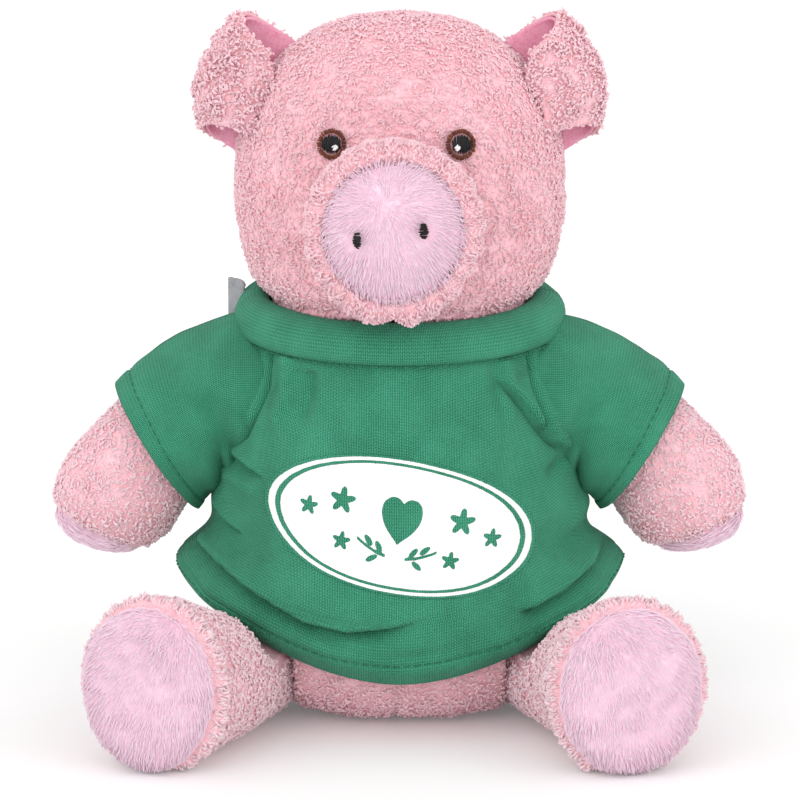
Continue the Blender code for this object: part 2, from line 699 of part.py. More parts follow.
def thicken(item, thickness):
    """Give a sheet its thickness, half to each side."""
    solid = item.modifiers.new("thickness", "SOLIDIFY")
    solid.thickness = thickness
    solid.offset = 0
    solid.use_even_offset = True
    return item


def build_ears(parts, pile, lining):
    """Two ears, each a pile outer and a smooth lining."""
    layers = (
        ("ear_outer_", EAR_LINING + SEAM_GAP + EAR_PILE / 2, EAR_PILE, pile),
        ("ear_lining_", EAR_LINING / 2, EAR_LINING, lining),
    )
    for side_name, side in SIDES.items():
        for prefix, layer, thickness, material in layers:
            def place(u, v, layer=layer):
                return ear_point(v, u, layer)

            name = prefix + side_name
            mesh = sheet_mesh(name, EAR_GRID, place)
            if side < 0:
                mirror_mesh(mesh)
            thicken(new_object(name, mesh, material, parts), thickness)


def band_middle(angle):
    """A point of the neck band's middle line."""
    x = BAND_HALF_WIDTH * math.cos(angle)
    y = BAND_HALF_DEPTH * math.sin(angle)
    return Vector((x, y, BAND_MIDDLE_Z + BAND_RISE_PER_DEPTH * y))


def build_neck_band(parts, jersey):
    """The doubled band round the shirt's neck."""
    def place(u, v):
        return band_middle(2 * math.pi * u) + Vector((0, 0, v * BAND_HEIGHT - BAND_HEIGHT / 2))

    mesh = sheet_mesh("neck_band", BAND_GRID, place, wrap=True)
    thicken(new_object("neck_band", mesh, jersey, parts), BAND_THICKNESS)


def hem_height(angle):
    """Height of the shirt's hem, which lifts over the thighs."""
    sideways = abs(math.cos(angle))
    if math.sin(angle) < 0:
        low, start, end = HEM_FRONT_Z, HEM_FRONT_LIFT_START_SHARE, HEM_FRONT_LIFT_END_SHARE
    else:
        low, start, end = HEM_BACK_Z, HEM_BACK_LIFT_START_SHARE, HEM_BACK_LIFT_END_SHARE
    return low + (HEM_SIDE_Z - low) * smooth_step((sideways - start) / (end - start))


def shirt_point(angle, share, out):
    """A point of the shirt body's middle surface, from the hem up to the neck band."""
    band = band_middle(angle)
    top = band.z - BAND_HEIGHT / 2 - SEAM_GAP - JERSEY / 2
    bottom = hem_height(angle)
    z = bottom + (top - bottom) * share
    half_width, half_depth, middle_y = body_row(z)
    ease = SHIRT_EASE + JERSEY / 2 + SHIRT_LOOSENESS
    over_hem = z - bottom
    ease += HEM_ROLL * math.exp(-((over_hem - HEM_ROLL_HEIGHT) / HEM_ROLL_HEIGHT) ** 2)
    spread = math.sin(math.pi * share) ** 2
    ease += DRAG_FOLD * spread * math.cos(DRAG_FOLD_COUNT * angle + 2 * math.pi * share)
    near_x = (half_width + ease) * math.cos(angle)
    near_y = middle_y + (half_depth + ease) * math.sin(angle)
    yoke = smooth_step((share - YOKE_START_SHARE) / (1 - YOKE_START_SHARE))
    mixed = Vector((near_x, near_y)).lerp(Vector((band.x, band.y)), yoke)
    outward = Vector((math.cos(angle), math.sin(angle)))
    mixed += outward * out
    return Vector((mixed.x, mixed.y, z))


def build_shirt(parts, cutters, jersey):
    """The shirt's front and back panels, with the room for the sleeves cut out."""
    holes = [armhole_cutter(side, SEAM_GAP / 2, cutters) for side in SIDES.values()]
    seam_turn = SEAM_GAP / 2 / BODY_HALF_WIDTH
    for name, start in (("shirt_front", math.pi), ("shirt_back", 0)):
        def place(u, v, start=start):
            return shirt_point(start + seam_turn + (math.pi - 2 * seam_turn) * u, v, 0)

        mesh = sheet_mesh(name, SHIRT_GRID, place)
        item = thicken(new_object(name, mesh, jersey, parts), JERSEY)
        for cutter in holes:
            carve(item, cutter)


def build_print(parts, ink):
    """The printed layer on the front of the shirt."""
    rise = JERSEY / 2 + 2 * SEAM_GAP + PRINT_THICKNESS / 2

    def place(u, v):
        right, up = 2 * u - 1, 2 * v - 1
        across = PRINT_HALF_WIDTH * right * math.sqrt(1 - up ** 2 / 2)
        upward = PRINT_HALF_HEIGHT * up * math.sqrt(1 - right ** 2 / 2)
        x = across * math.cos(PRINT_TILT) - upward * math.sin(PRINT_TILT)
        z = PRINT_MIDDLE_Z + across * math.sin(PRINT_TILT) + upward * math.cos(PRINT_TILT)
        return shirt_front_point(x, z, rise)

    mesh = sheet_mesh("shirt_print", PRINT_GRID, place)
    thicken(new_object("shirt_print", mesh, ink, parts), PRINT_THICKNESS)


def shirt_front_point(x, z, out):
    """The point of the shirt's front surface behind a place seen from the front."""
    low, high = math.pi, 2 * math.pi
    for _ in range(SEARCH_STEPS):
        angle = (low + high) / 2
        share = shirt_share(angle, z)
        if shirt_point(angle, share, out).x < x:
            low = angle
        else:
            high = angle
    return shirt_point(angle, share, out)


def shirt_share(angle, z):
    """How far up the shirt a height lies, at an angle about the body."""
    top = band_middle(angle).z - BAND_HEIGHT / 2 - SEAM_GAP - JERSEY / 2
    bottom = hem_height(angle)
    return (z - bottom) / (top - bottom)


def build_label(parts, tape):
    """A small blank label that stands behind the neck band."""
    angle = LABEL_ROUND_ANGLE
    outward = Vector((math.cos(angle), math.sin(angle), 0))
    middle = band_middle(angle)
    middle += outward * (BAND_THICKNESS / 2 + SEAM_GAP + LABEL_THICKNESS / 2)
    middle.z = SHOULDER_Z + SLEEVE_ROOT_RADIUS + LABEL_ABOVE_SLEEVE + LABEL_HEIGHT / 2
    block = bmesh.new()
    bmesh.ops.create_cube(block, size=1)
    scale = Matrix.Diagonal((LABEL_WIDTH, LABEL_THICKNESS, LABEL_HEIGHT, 1))
    bmesh.ops.transform(block, matrix=scale, verts=block.verts)
    item = new_object("neck_label", to_mesh("neck_label", block), tape, parts)
    item.location = middle
    item.rotation_euler = (0, 0, angle - math.pi / 2)
    bevel = item.modifiers.new("corners", "BEVEL")
    bevel.width = LABEL_CORNER
    bevel.segments = 1


def arm_pad_plane():
    """Point and direction of the plane that parts the paw pad from the arm."""
    tip, along = arm_axis(1)
    down = Matrix.Rotation(-PAW_PAD_TURN, 3, "Y") @ along
    return tip - along * PAW_PAD_DEPTH, down


def build_arms(parts, cutters, pile, long_pile, stuffing):
    """Two arms, each a pile skin, a paw pad and stuffing, on a swing joint at the shoulder."""
    half_gap = SEAM_GAP / 2
    for name, side in SIDES.items():
        inner_end = (side * (ARM_PLANE_X + half_gap), 0, 0)
        root = half_space("arm_root_cutter", inner_end, (-side, 0, 0), cutters)
        point, down = arm_pad_plane()
        point = Vector((point.x * side, point.y, point.z))
        down = Vector((down.x * side, down.y, down.z))
        beyond = half_space("hand_cutter", point - down * half_gap, down, cutters)
        before = half_space("paw_cutter", point + down * half_gap, -down, cutters)
        pieces = (("arm_skin_", (root, beyond), pile), ("paw_pad_", (before,), long_pile))
        for piece, cuts, material in pieces:
            mesh = hollow_form(piece + name, ARM_FACETS, arm_point, PILE_CLOTH)
            if side < 0:
                mirror_mesh(mesh)
            item = new_object(piece + name, mesh, material, parts)
            for cutter in cuts:
                carve(item, cutter)
        mesh = stuffing_mesh("arm_stuffing_" + name, ARM_FACETS, arm_point)
        if side < 0:
            mirror_mesh(mesh)
        carve(new_object("arm_stuffing_" + name, mesh, stuffing, parts), root)


def sleeve_point(u, v):
    """A point of the left sleeve, round it by u and from the shoulder to the hem by v."""
    angle = 2 * math.pi * u
    tilt = SLEEVE_HEM_TILT * v
    x = ARM_PLANE_X + SEAM_GAP / 2 + SLEEVE_REACH * v
    middle = Vector((x, SHOULDER_Y, SHOULDER_Z - SLEEVE_DROP * v ** SLEEVE_DROP_POWER))
    upward = Vector((math.sin(tilt), 0, math.cos(tilt)))
    radius = SLEEVE_ROOT_RADIUS - JERSEY / 2 + (SLEEVE_HEM_RADIUS - SLEEVE_ROOT_RADIUS) * v
    radius += SLEEVE_FOLD * math.sin(math.pi * v) * math.cos(SLEEVE_FOLD_COUNT * angle)
    return middle + upward * radius * math.cos(angle) + Vector((0, radius * math.sin(angle), 0))


def build_sleeves(parts, jersey):
    """Two short sleeves, which swing with the arms."""
    for name, side in SIDES.items():
        mesh = sheet_mesh("sleeve_" + name, SLEEVE_GRID, sleeve_point, wrap=True)
        if side < 0:
            mirror_mesh(mesh)
        thicken(new_object("sleeve_" + name, mesh, jersey, parts), JERSEY)


def build_legs(parts, cutters, pile, long_pile, stuffing):
    """Two legs, each a pile skin, a sole pad and stuffing, on a swing joint at the hip."""
    half_gap = SEAM_GAP / 2
    for name, side in SIDES.items():
        inner_end = (side * (HIP_PLANE_X + half_gap), 0, 0)
        root = half_space("leg_root_cutter", inner_end, (-side, 0, 0), cutters)
        along = leg_along()
        point = Vector((LEG_CENTRE_AT_HIP_X, HIP_Y, HIP_Z)) + along * (LEG_REACH - SOLE_DEPTH)
        along.x *= side
        point.x *= side
        beyond = half_space("foot_cutter", point - along * half_gap, along, cutters)
        before = half_space("sole_cutter", point + along * half_gap, -along, cutters)
        pieces = (("leg_skin_", (root, beyond), pile), ("sole_pad_", (before,), long_pile))
        for piece, cuts, material in pieces:
            mesh = hollow_form(piece + name, LEG_FACETS, leg_point, PILE_CLOTH, floor=0)
            if side < 0:
                mirror_mesh(mesh)
            item = new_object(piece + name, mesh, material, parts)
            for cutter in cuts:
                carve(item, cutter)
        mesh = stuffing_mesh("leg_stuffing_" + name, LEG_FACETS, leg_point, floor=STUFFING_INSET)
        if side < 0:
            mirror_mesh(mesh)
        carve(new_object("leg_stuffing_" + name, mesh, stuffing, parts), root)


def main():
    """Build the whole toy."""
    clear_scene()
    parts = new_collection("plush_pig")
    cutters = new_collection("cutters")
    pile = new_material("pink_pile")
    long_pile = new_material("lilac_pile")
    lining = new_material("lilac_lining")
    jersey = new_material("green_jersey")
    ink = new_material("white_print")
    tape = new_material("grey_tape")
    iris_thread = new_material("brown_thread")
    black_thread = new_material("black_thread")
    white_thread = new_material("white_thread")
    stuffing = new_material("stuffing")
    build_body(parts, cutters, pile, stuffing)
    build_head(parts, cutters, pile, stuffing)
    build_muzzle(parts, cutters, pile, long_pile, stuffing)
    build_eyes(parts, iris_thread, black_thread, white_thread)
    build_nostrils(parts, black_thread)
    build_ears(parts, pile, lining)
    build_neck_band(parts, jersey)
    build_shirt(parts, cutters, jersey)
    build_print(parts, ink)
    build_label(parts, tape)
    build_arms(parts, cutters, pile, long_pile, stuffing)
    build_sleeves(parts, jersey)
    build_legs(parts, cutters, pile, long_pile, stuffing)


main()
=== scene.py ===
"""The visible surfaces of the plush pig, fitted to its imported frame.

Metres, +Z up, the face toward -Y, the pig's own left toward +X.
"""

import math
from functools import partial

import bmesh
import bpy
import numpy as np
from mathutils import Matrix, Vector


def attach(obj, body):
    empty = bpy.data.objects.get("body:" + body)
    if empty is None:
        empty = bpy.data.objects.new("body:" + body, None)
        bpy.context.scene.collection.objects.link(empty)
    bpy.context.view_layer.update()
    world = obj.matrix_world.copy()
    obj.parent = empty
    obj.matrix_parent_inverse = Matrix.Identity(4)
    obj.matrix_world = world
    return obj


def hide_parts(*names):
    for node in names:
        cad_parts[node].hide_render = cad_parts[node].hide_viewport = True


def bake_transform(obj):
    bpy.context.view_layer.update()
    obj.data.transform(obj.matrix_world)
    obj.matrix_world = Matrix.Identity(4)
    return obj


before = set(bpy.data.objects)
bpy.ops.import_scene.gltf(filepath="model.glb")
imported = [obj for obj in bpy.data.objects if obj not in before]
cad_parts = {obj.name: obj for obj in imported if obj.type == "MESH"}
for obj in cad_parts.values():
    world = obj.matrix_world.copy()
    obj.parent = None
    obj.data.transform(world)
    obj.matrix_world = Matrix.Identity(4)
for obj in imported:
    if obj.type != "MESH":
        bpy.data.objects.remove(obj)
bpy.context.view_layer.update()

MM = 0.001
SEAM_GAP = 0.0003
PILE_DEPTH = 0.0011
SIDES = {"left": 1, "right": -1}
UV_NAME = "OFBake"

# The forms of the frame, in its own values
NECK_PLANE_Z = 0.115
NECK_FLAT_DEPTH = 0.002
BODY_HALF_WIDTH = 0.059
BODY_HALF_DEPTH = 0.047
BODY_CENTRE_Y = -0.003
BODY_END_POWER = 4.5
BODY_RING_SPREAD = 0.55
BODY_LOW_Z = -0.0005
BODY_HIGH_Z = NECK_PLANE_Z + NECK_FLAT_DEPTH
BODY_HALF_HEIGHT = (BODY_HIGH_Z - BODY_LOW_Z) / 2
BODY_MIDDLE_Z = (BODY_HIGH_Z + BODY_LOW_Z) / 2
BODY_ROWS = (
    (0.00, 0.86, 0.90, 0.30),
    (0.18, 1.00, 1.00, 0.60),
    (0.36, 1.00, 1.02, 0.60),
    (0.50, 0.875, 0.97, 0.30),
    (0.60, 0.825, 0.90, 0.10),
    (0.80, 0.82, 0.82, -0.30),
    (0.92, 0.72, 0.76, -0.40),
    (1.00, 0.60, 0.66, -0.40),
)
HEAD_HALF_WIDTH = 0.048
HEAD_HALF_DEPTH = 0.041
HEAD_HALF_HEIGHT = 0.044
HEAD_CENTRE_Z = NECK_PLANE_Z + SEAM_GAP + HEAD_HALF_HEIGHT - NECK_FLAT_DEPTH
CROWN_POWER = 2.5
JAW_POWER = 2.9
CROWN_TAPER = 0.16
MUZZLE_CENTRE_X = -0.0018
MUZZLE_CENTRE_Z = HEAD_CENTRE_Z - 0.0118
MUZZLE_RADIUS = 0.0242
MUZZLE_POWER = 2.6
MUZZLE_FRONT_Y = -HEAD_HALF_DEPTH - 0.0275
MUZZLE_ROOT_Y = -HEAD_HALF_DEPTH + 0.014
MUZZLE_HALF_LENGTH = (MUZZLE_ROOT_Y - MUZZLE_FRONT_Y) / 2
MUZZLE_MIDDLE_Y = (MUZZLE_ROOT_Y + MUZZLE_FRONT_Y) / 2
SNOUT_DISC_Y = MUZZLE_FRONT_Y + 0.007
SNOUT_DISC_RADIUS = 0.018
EYE_MIDDLE_X = -0.001
EYE_X = 0.01775
EYE_Z = HEAD_CENTRE_Z + 0.0095
NOSTRIL_MIDDLE_X = -0.0026
NOSTRIL_MIDDLE_Z = HEAD_CENTRE_Z - 0.012
NOSTRIL_X = 0.009
NOSTRIL_ROLL = math.radians(8)
ARM_PLANE_X = 0.04602
SHOULDER_Y = -0.002
SHOULDER_Z = 0.0905
ARM_LENGTH = 0.068
ARM_START = math.radians(13)
ARM_END = math.radians(75)
ARM_ROOT_INSIDE = 0.004
ARM_RADIUS = 0.019
ARM_END_POWER = 3.0
ARM_RING_SPREAD = 0.6
ARM_ROWS = ((0.0, 0.93), (0.3, 0.95), (0.55, 0.96), (0.8, 1.05), (1.0, 1.0))
PAW_PAD_DEPTH = 0.007
PAW_PAD_TURN = math.radians(12)
HIP_PLANE_X = 0.03009
HIP_Y = -0.005
HIP_Z = 0.0167
HIP_POCKET = 0.0207
LEG_X = HIP_PLANE_X + 0.007
LEG_SPLAY = math.radians(20)
LEG_REACH = 0.0885
LEG_BEHIND_HIP = 0.016
THIGH_HALF_WIDTH = 0.0175
THIGH_HALF_HEIGHT = 0.0172
FOOT_HALF_WIDTH = 0.0205
FOOT_HALF_HEIGHT = 0.0235
LEG_ROWS = ((0.0, 0.0), (0.35, 0.0), (0.6, 0.35), (0.8, 0.85), (0.92, 1.0), (1.0, 1.0))
LEG_END_POWERS = (3.4, 7.0)
LEG_RING_SPREAD = 0.55
SOLE_EDGE = 0.0080
SHIRT_OUT = 0.0035
BAND_HALF_WIDTH = 0.0444
BAND_HALF_DEPTH = 0.0402
BAND_HEIGHT = 0.011
BAND_MIDDLE_Z = 0.1165
BAND_RISE = 0.11
BAND_OVERLAP = 0.0012
JERSEY = 0.0012
HEM_FRONT_Z = 0.0175
HEM_BACK_Z = 0.013
HEM_SIDE_Z = 0.0395

# Skins: how low they reach under their pile, up to where they stay flat, and how fine they are
FLOOR_REST = 0.0004
FLAT_SEAT_Z = 0.002
HEAD_VOXEL = 0.0011
TORSO_VOXEL = 0.0018
LIMB_VOXEL = 0.0010
JOIN_DISTANCE = 0.00002
NO_LENGTH = 0.000001

# Fibres: triangles in a piece, sizes of tufts and shaded patches, and the layout of their map
PIECE_TRIANGLES = 190000
TUFT_SIZES = (0.006, 0.0028)
SHADE_PATCH = 0.009
THREE_SIDED_HEIGHT = 0.7
TONE_WIDTH = 0.012
MAP_MARGIN = 0.01

rng = np.random.default_rng(7)


# Small tools


def unit(vectors):
    """Vectors of length one."""
    return vectors / np.maximum(np.linalg.norm(vectors, axis=-1, keepdims=True), 1e-12)


def smooth_step(value):
    """A soft step from 0 to 1."""
    value = np.clip(value, 0, 1)
    return value * value * (3 - 2 * value)


def bump(value, width):
    """A soft hump, 1 at zero."""
    return np.exp(-((value / width) ** 2))


def rows_at(rows, place):
    """Values of a table of rows at places along it, on a smooth curve through the rows."""
    rows = np.array(rows, float)
    place = np.asarray(place, float)
    last = len(rows) - 1
    index = np.searchsorted(rows[1:-1, 0], place, side="left")
    start, end = rows[index], rows[index + 1]
    before, after = rows[np.maximum(index - 1, 0)], rows[np.minimum(index + 2, last)]
    span = (end - start)[:, :1]
    step = np.clip((place[:, None] - start[:, :1]) / span, 0, 1)
    slope_in = (end - before) / (end - before)[:, :1] * span
    slope_out = (after - start) / (after - start)[:, :1] * span
    rise = end - start
    cubic = slope_in + slope_out - 2 * rise
    square = 3 * rise - 2 * slope_in - slope_out
    return (start + step * (slope_in + step * (square + step * cubic)))[:, 1:]


def hashed(cells, seed):
    """A fixed random number from -1 to 1 for each cell of a lattice."""
    x, y, z = (cells[..., axis].astype(np.int64) for axis in range(3))
    mixed = (x * 73856093) ^ (y * 19349663) ^ (z * 83492791) ^ (seed * 40503)
    for _ in range(2):
        mixed &= 0xFFFFFFFF
        mixed = ((mixed ^ (mixed >> 16)) * 0x45D9F3B) & 0xFFFFFFFF
    return (mixed ^ (mixed >> 16)) / 0xFFFFFFFF * 2 - 1


def noise(points, size, seed=0):
    """Smooth noise from -1 to 1 whose cells have a size."""
    places = points / size
    cells = np.floor(places)
    step = places - cells
    step = step * step * (3 - 2 * step)
    total = 0
    for corner in np.ndindex(2, 2, 2):
        corner = np.array(corner)
        weight = np.prod(np.where(corner == 1, step, 1 - step), axis=-1)
        total = total + weight * hashed(cells + corner, seed)
    return total


def spun(x, z, angle):
    """Places of a plane turned by an angle."""
    return x * np.cos(angle) - z * np.sin(angle), x * np.sin(angle) + z * np.cos(angle)


def lengths_along(points, axis=0):
    """How far along its line each point is."""
    steps = np.linalg.norm(np.diff(points, axis=axis), axis=-1)
    return np.insert(np.cumsum(steps, axis=axis), 0, 0, axis=axis)


# Forms, as in the frame: each takes polar and round angles and a distance out


def blunt_end(polar, power, spread):
    """How far up a form's rings are and how wide, for ends that are flat in their middle."""
    level = np.sign(np.cos(polar)) * np.abs(np.cos(polar)) ** spread
    return level, np.maximum(0, 1 - np.abs(level) ** power) ** (1 / power)


def round_end(polar, power):
    """How far up a form's rings are and how wide, for rounded ends."""
    height = np.cos(polar)
    return np.sign(height) * np.abs(height) ** (2 / power), np.abs(np.sin(polar)) ** (2 / power)


def body_row(z):
    """The body's half width, half depth and middle at heights."""
    share = (z - BODY_LOW_Z) / (BODY_HIGH_Z - BODY_LOW_Z)
    width, depth, lean = rows_at(BODY_ROWS, share).T
    return BODY_HALF_WIDTH * width, BODY_HALF_DEPTH * depth, BODY_CENTRE_Y * (1 + lean)


def body_form(polar, angle, out):
    """The body's surface."""
    level, reach = blunt_end(polar, BODY_END_POWER, BODY_RING_SPREAD)
    half_width, half_depth, middle_y = body_row(BODY_MIDDLE_Z + BODY_HALF_HEIGHT * level)
    x = (half_width + out) * reach * np.cos(angle)
    y = middle_y + (half_depth + out) * reach * np.sin(angle)
    return np.stack([x, y, BODY_MIDDLE_Z + (BODY_HALF_HEIGHT + out) * level], -1)


def head_half_width(level, out):
    """The head's half width, which narrows toward the crown."""
    return HEAD_HALF_WIDTH * (1 - CROWN_TAPER * np.maximum(level, 0) ** 2) + out


def head_form(polar, angle, out):
    """The head's surface."""
    level, reach = round_end(polar, np.where(np.cos(polar) > 0, CROWN_POWER, JAW_POWER))
    x = head_half_width(level, out) * reach * np.cos(angle)
    y = (HEAD_HALF_DEPTH + out) * reach * np.sin(angle)
    return np.stack([x, y, HEAD_CENTRE_Z + (HEAD_HALF_HEIGHT + out) * level], -1)


def head_front(x, z, out=0.0):
    """The head's front surface behind places seen from the front."""
    level = (z - HEAD_CENTRE_Z) / (HEAD_HALF_HEIGHT + out)
    power = np.where(level > 0, CROWN_POWER, JAW_POWER)
    reach = (1 - np.abs(level) ** power) ** (1 / power)
    across = x / head_half_width(level, out)
    y = -(HEAD_HALF_DEPTH + out) * np.sqrt(np.maximum(reach ** 2 - across ** 2, 0))
    return np.stack([x, y, z], -1)


def muzzle_form(polar, angle, out):
    """The muzzle's surface, with one pole at its front and one at its root."""
    level, reach = round_end(polar, MUZZLE_POWER)
    radius = (MUZZLE_RADIUS + out) * reach
    x = MUZZLE_CENTRE_X + radius * np.cos(angle)
    z = MUZZLE_CENTRE_Z + radius * np.sin(angle)
    return np.stack([x, MUZZLE_MIDDLE_Y - (MUZZLE_HALF_LENGTH + out) * level, z], -1)


def muzzle_front(x, z, out=0.0):
    """The muzzle's front surface behind places seen from the front."""
    radius = np.hypot(x - MUZZLE_CENTRE_X, z - MUZZLE_CENTRE_Z) / (MUZZLE_RADIUS + out)
    level = np.maximum(0, 1 - radius ** MUZZLE_POWER) ** (1 / MUZZLE_POWER)
    return np.stack([x, MUZZLE_MIDDLE_Y - (MUZZLE_HALF_LENGTH + out) * level, z], -1)


def arm_axis(share):
    """Middle and direction of the left arm at places along it."""
    radius = ARM_LENGTH / (ARM_END - ARM_START)
    angle = ARM_START + (ARM_END - ARM_START) * share
    x = ARM_PLANE_X - ARM_ROOT_INSIDE + radius * (np.sin(angle) - math.sin(ARM_START))
    z = SHOULDER_Z + radius * (np.cos(angle) - math.cos(ARM_START))
    middle = np.stack([x, np.full_like(x, SHOULDER_Y), z], -1)
    return middle, np.stack([np.cos(angle), np.zeros_like(x), -np.sin(angle)], -1)


def arm_form(polar, angle, out):
    """The left arm's surface."""
    level, reach = blunt_end(polar, ARM_END_POWER, ARM_RING_SPREAD)
    share = (1 - level) / 2
    middle, along = arm_axis(share)
    upward = np.stack([-along[:, 2], 0 * share, along[:, 0]], -1)
    radius = (ARM_RADIUS * rows_at(ARM_ROWS, share)[:, 0] + out) * reach
    sideways = np.array([0, 1, 0]) * np.sin(angle)[:, None]
    around = (upward * np.cos(angle)[:, None] + sideways) * radius[:, None]
    return middle - along * (out * level)[:, None] + around


LEG_ALONG = np.array([math.sin(LEG_SPLAY), -math.cos(LEG_SPLAY), 0])
LEG_OUTWARD = np.array([math.cos(LEG_SPLAY), math.sin(LEG_SPLAY), 0])


def leg_form(polar, angle, out):
    """The left leg's surface, with a rounder end at the thigh than at the sole."""
    level, reach = blunt_end(polar, np.where(np.cos(polar) > 0, *LEG_END_POWERS), LEG_RING_SPREAD)
    share = (1 - level) / 2
    way = rows_at(LEG_ROWS, share)[:, 0]
    half_width = THIGH_HALF_WIDTH + (FOOT_HALF_WIDTH - THIGH_HALF_WIDTH) * way
    half_height = THIGH_HALF_HEIGHT + (FOOT_HALF_HEIGHT - THIGH_HALF_HEIGHT) * way
    distance = -LEG_BEHIND_HIP + (LEG_REACH + LEG_BEHIND_HIP) * share - out * level
    point = np.array([LEG_X, HIP_Y, 0]) + LEG_ALONG * distance[:, None]
    point = point + LEG_OUTWARD * ((half_width + out) * reach * np.cos(angle))[:, None]
    point[:, 2] += half_height + BODY_LOW_Z + (half_height + out) * reach * np.sin(angle)
    return point


def band_middle(angle):
    """The neck band's middle line."""
    x = BAND_HALF_WIDTH * np.cos(angle)
    y = BAND_HALF_DEPTH * np.sin(angle)
    return np.stack([x, y, BAND_MIDDLE_Z + BAND_RISE * y], -1)


# Meshes


def sphere_grid(count):
    """Directions and quads of a cube blown up to a sphere."""
    step = np.tan(np.linspace(-1, 1, count + 1) * math.pi / 4)
    u, v = np.meshgrid(step, step, indexing="ij")
    one = np.ones_like(u)
    sides = [(one, u, v), (-one, v, u), (v, one, u), (u, -one, v), (u, v, one), (v, u, -one)]
    points = np.concatenate([np.stack(side, -1).reshape(-1, 3) for side in sides])
    quad = grid_faces(count + 1, count + 1)[:, [0, 3, 2, 1]]
    quads = np.concatenate([quad + number * (count + 1) ** 2 for number in range(6)])
    keys = np.round(points * 1e6).astype(np.int64)
    _, first, same = np.unique(keys, axis=0, return_index=True, return_inverse=True)
    return unit(points[first]), same.reshape(-1)[quads]


def form_mesh(form, count, out):
    """Points and quads of a form."""
    ways, quads = sphere_grid(count)
    polar = np.arccos(np.clip(ways[:, 2], -1, 1))
    return form(polar, np.arctan2(ways[:, 1], ways[:, 0]), out), quads


def flat_floats(values):
    """Values in one row, as a mesh takes them."""
    return np.ascontiguousarray(values, np.float32).ravel()


def new_mesh(name, points, faces, corner_uv=None):
    """A mesh of arrays. Faces is a list of arrays, one for each number of corners."""
    mesh = bpy.data.meshes.new(name)
    mesh.vertices.add(len(points))
    mesh.vertices.foreach_set("co", flat_floats(points))
    corners = np.concatenate([array.ravel() for array in faces]).astype(np.int32)
    counts = np.concatenate([np.full(len(array), array.shape[1]) for array in faces])
    starts = np.concatenate([[0], np.cumsum(counts)[:-1]]).astype(np.int32)
    mesh.loops.add(len(corners))
    mesh.loops.foreach_set("vertex_index", corners)
    mesh.polygons.add(len(counts))
    mesh.polygons.foreach_set("loop_start", starts)
    if corner_uv is not None:
        layer = mesh.uv_layers.new(name=corner_uv[0])
        layer.uv.foreach_set("vector", flat_floats(corner_uv[1]))
    mesh.update(calc_edges=True)
    mesh.shade_smooth()
    return mesh


def woven_mesh(name, points, faces, weave):
    """A knitted cloth's mesh, with its weave laid out in metres."""
    return new_mesh(name, points, [faces], ("weave", weave[faces.ravel()]))


def read_triples(items, name, kind=np.float32):
    """Three values of each of a mesh's items."""
    values = np.empty(len(items) * 3, kind)
    items.foreach_get(name, values)
    return values.reshape(-1, 3)


def mesh_arrays(mesh):
    """Points, normals and triangles of a mesh."""
    points = read_triples(mesh.vertices, "co").astype(float)
    normals = read_triples(mesh.vertex_normals, "vector").astype(float)
    mesh.calc_loop_triangles()
    return points, normals, read_triples(mesh.loop_triangles, "vertices", np.int32)


def set_points(mesh, points):
    """Move a mesh's points."""
    mesh.vertices.foreach_set("co", flat_floats(points))
    mesh.update()


def new_object(name, mesh):
    """An object of a mesh, in the scene."""
    item = bpy.data.objects.new(name, mesh)
    bpy.context.scene.collection.objects.link(item)
    return item


def apply_modifiers(item):
    """Make what the modifiers show the object's own mesh."""
    evaluated = item.evaluated_get(bpy.context.evaluated_depsgraph_get())
    mesh = bpy.data.meshes.new_from_object(evaluated)
    item.modifiers.clear()
    old = item.data
    item.data = mesh
    bpy.data.meshes.remove(old)
    mesh.name = item.name
    mesh.shade_smooth()
    return mesh


def thicken(item, thickness):
    """Give a sheet its thickness, half to each side."""
    solid = item.modifiers.new("thickness", "SOLIDIFY")
    solid.thickness = thickness
    solid.offset = 0
    return item


def mirror(item):
    """Turn a piece of the left side into one of the right."""
    points, _, _ = mesh_arrays(item.data)
    points[:, 0] *= -1
    set_points(item.data, points)
    item.data.flip_normals()


def clean_mesh(mesh):
    """Join points that lie together and face the surface outward."""
    form = bmesh.new()
    form.from_mesh(mesh)
    bmesh.ops.remove_doubles(form, verts=form.verts, dist=JOIN_DISTANCE)
    bmesh.ops.dissolve_degenerate(form, edges=form.edges, dist=NO_LENGTH)
    bmesh.ops.recalc_face_normals(form, faces=form.faces)
    form.to_mesh(mesh)
    form.free()
    mesh.update()


def remeshed(name, shells, voxel, rounds):
    """One even mesh round overlapping closed shells, softened where they meet."""
    total, points, quads = 0, [], []
    for shell_points, shell_quads in shells:
        points.append(shell_points)
        quads.append(shell_quads + total)
        total += len(shell_points)
    blank = new_object(name, new_mesh(name, np.concatenate(points), [np.concatenate(quads)]))
    remesh = blank.modifiers.new("remesh", "REMESH")
    remesh.mode = "VOXEL"
    remesh.voxel_size = voxel
    soften = blank.modifiers.new("soften", "SMOOTH")
    soften.iterations = rounds
    soften.factor = 0.5
    mesh = apply_modifiers(blank)
    bpy.data.objects.remove(blank)
    return mesh


def grid_faces(rows, columns, wrap=False, closed=False):
    """Quads of a grid of points, whose last column and last row may join the first."""
    index = np.arange(rows * columns).reshape(rows, columns)
    if closed:
        index = np.concatenate([index, index[:1]])
    if wrap:
        index = np.concatenate([index, index[:, :1]], axis=1)
    return np.stack([index[:-1, :-1], index[:-1, 1:], index[1:, 1:], index[1:, :-1]], -1).reshape(-1, 4)


def grid_places(low, rows, columns):
    """Two coordinates of a grid's points, each from low to 1."""
    return np.meshgrid(np.linspace(low, 1, rows), np.linspace(low, 1, columns), indexing="ij")


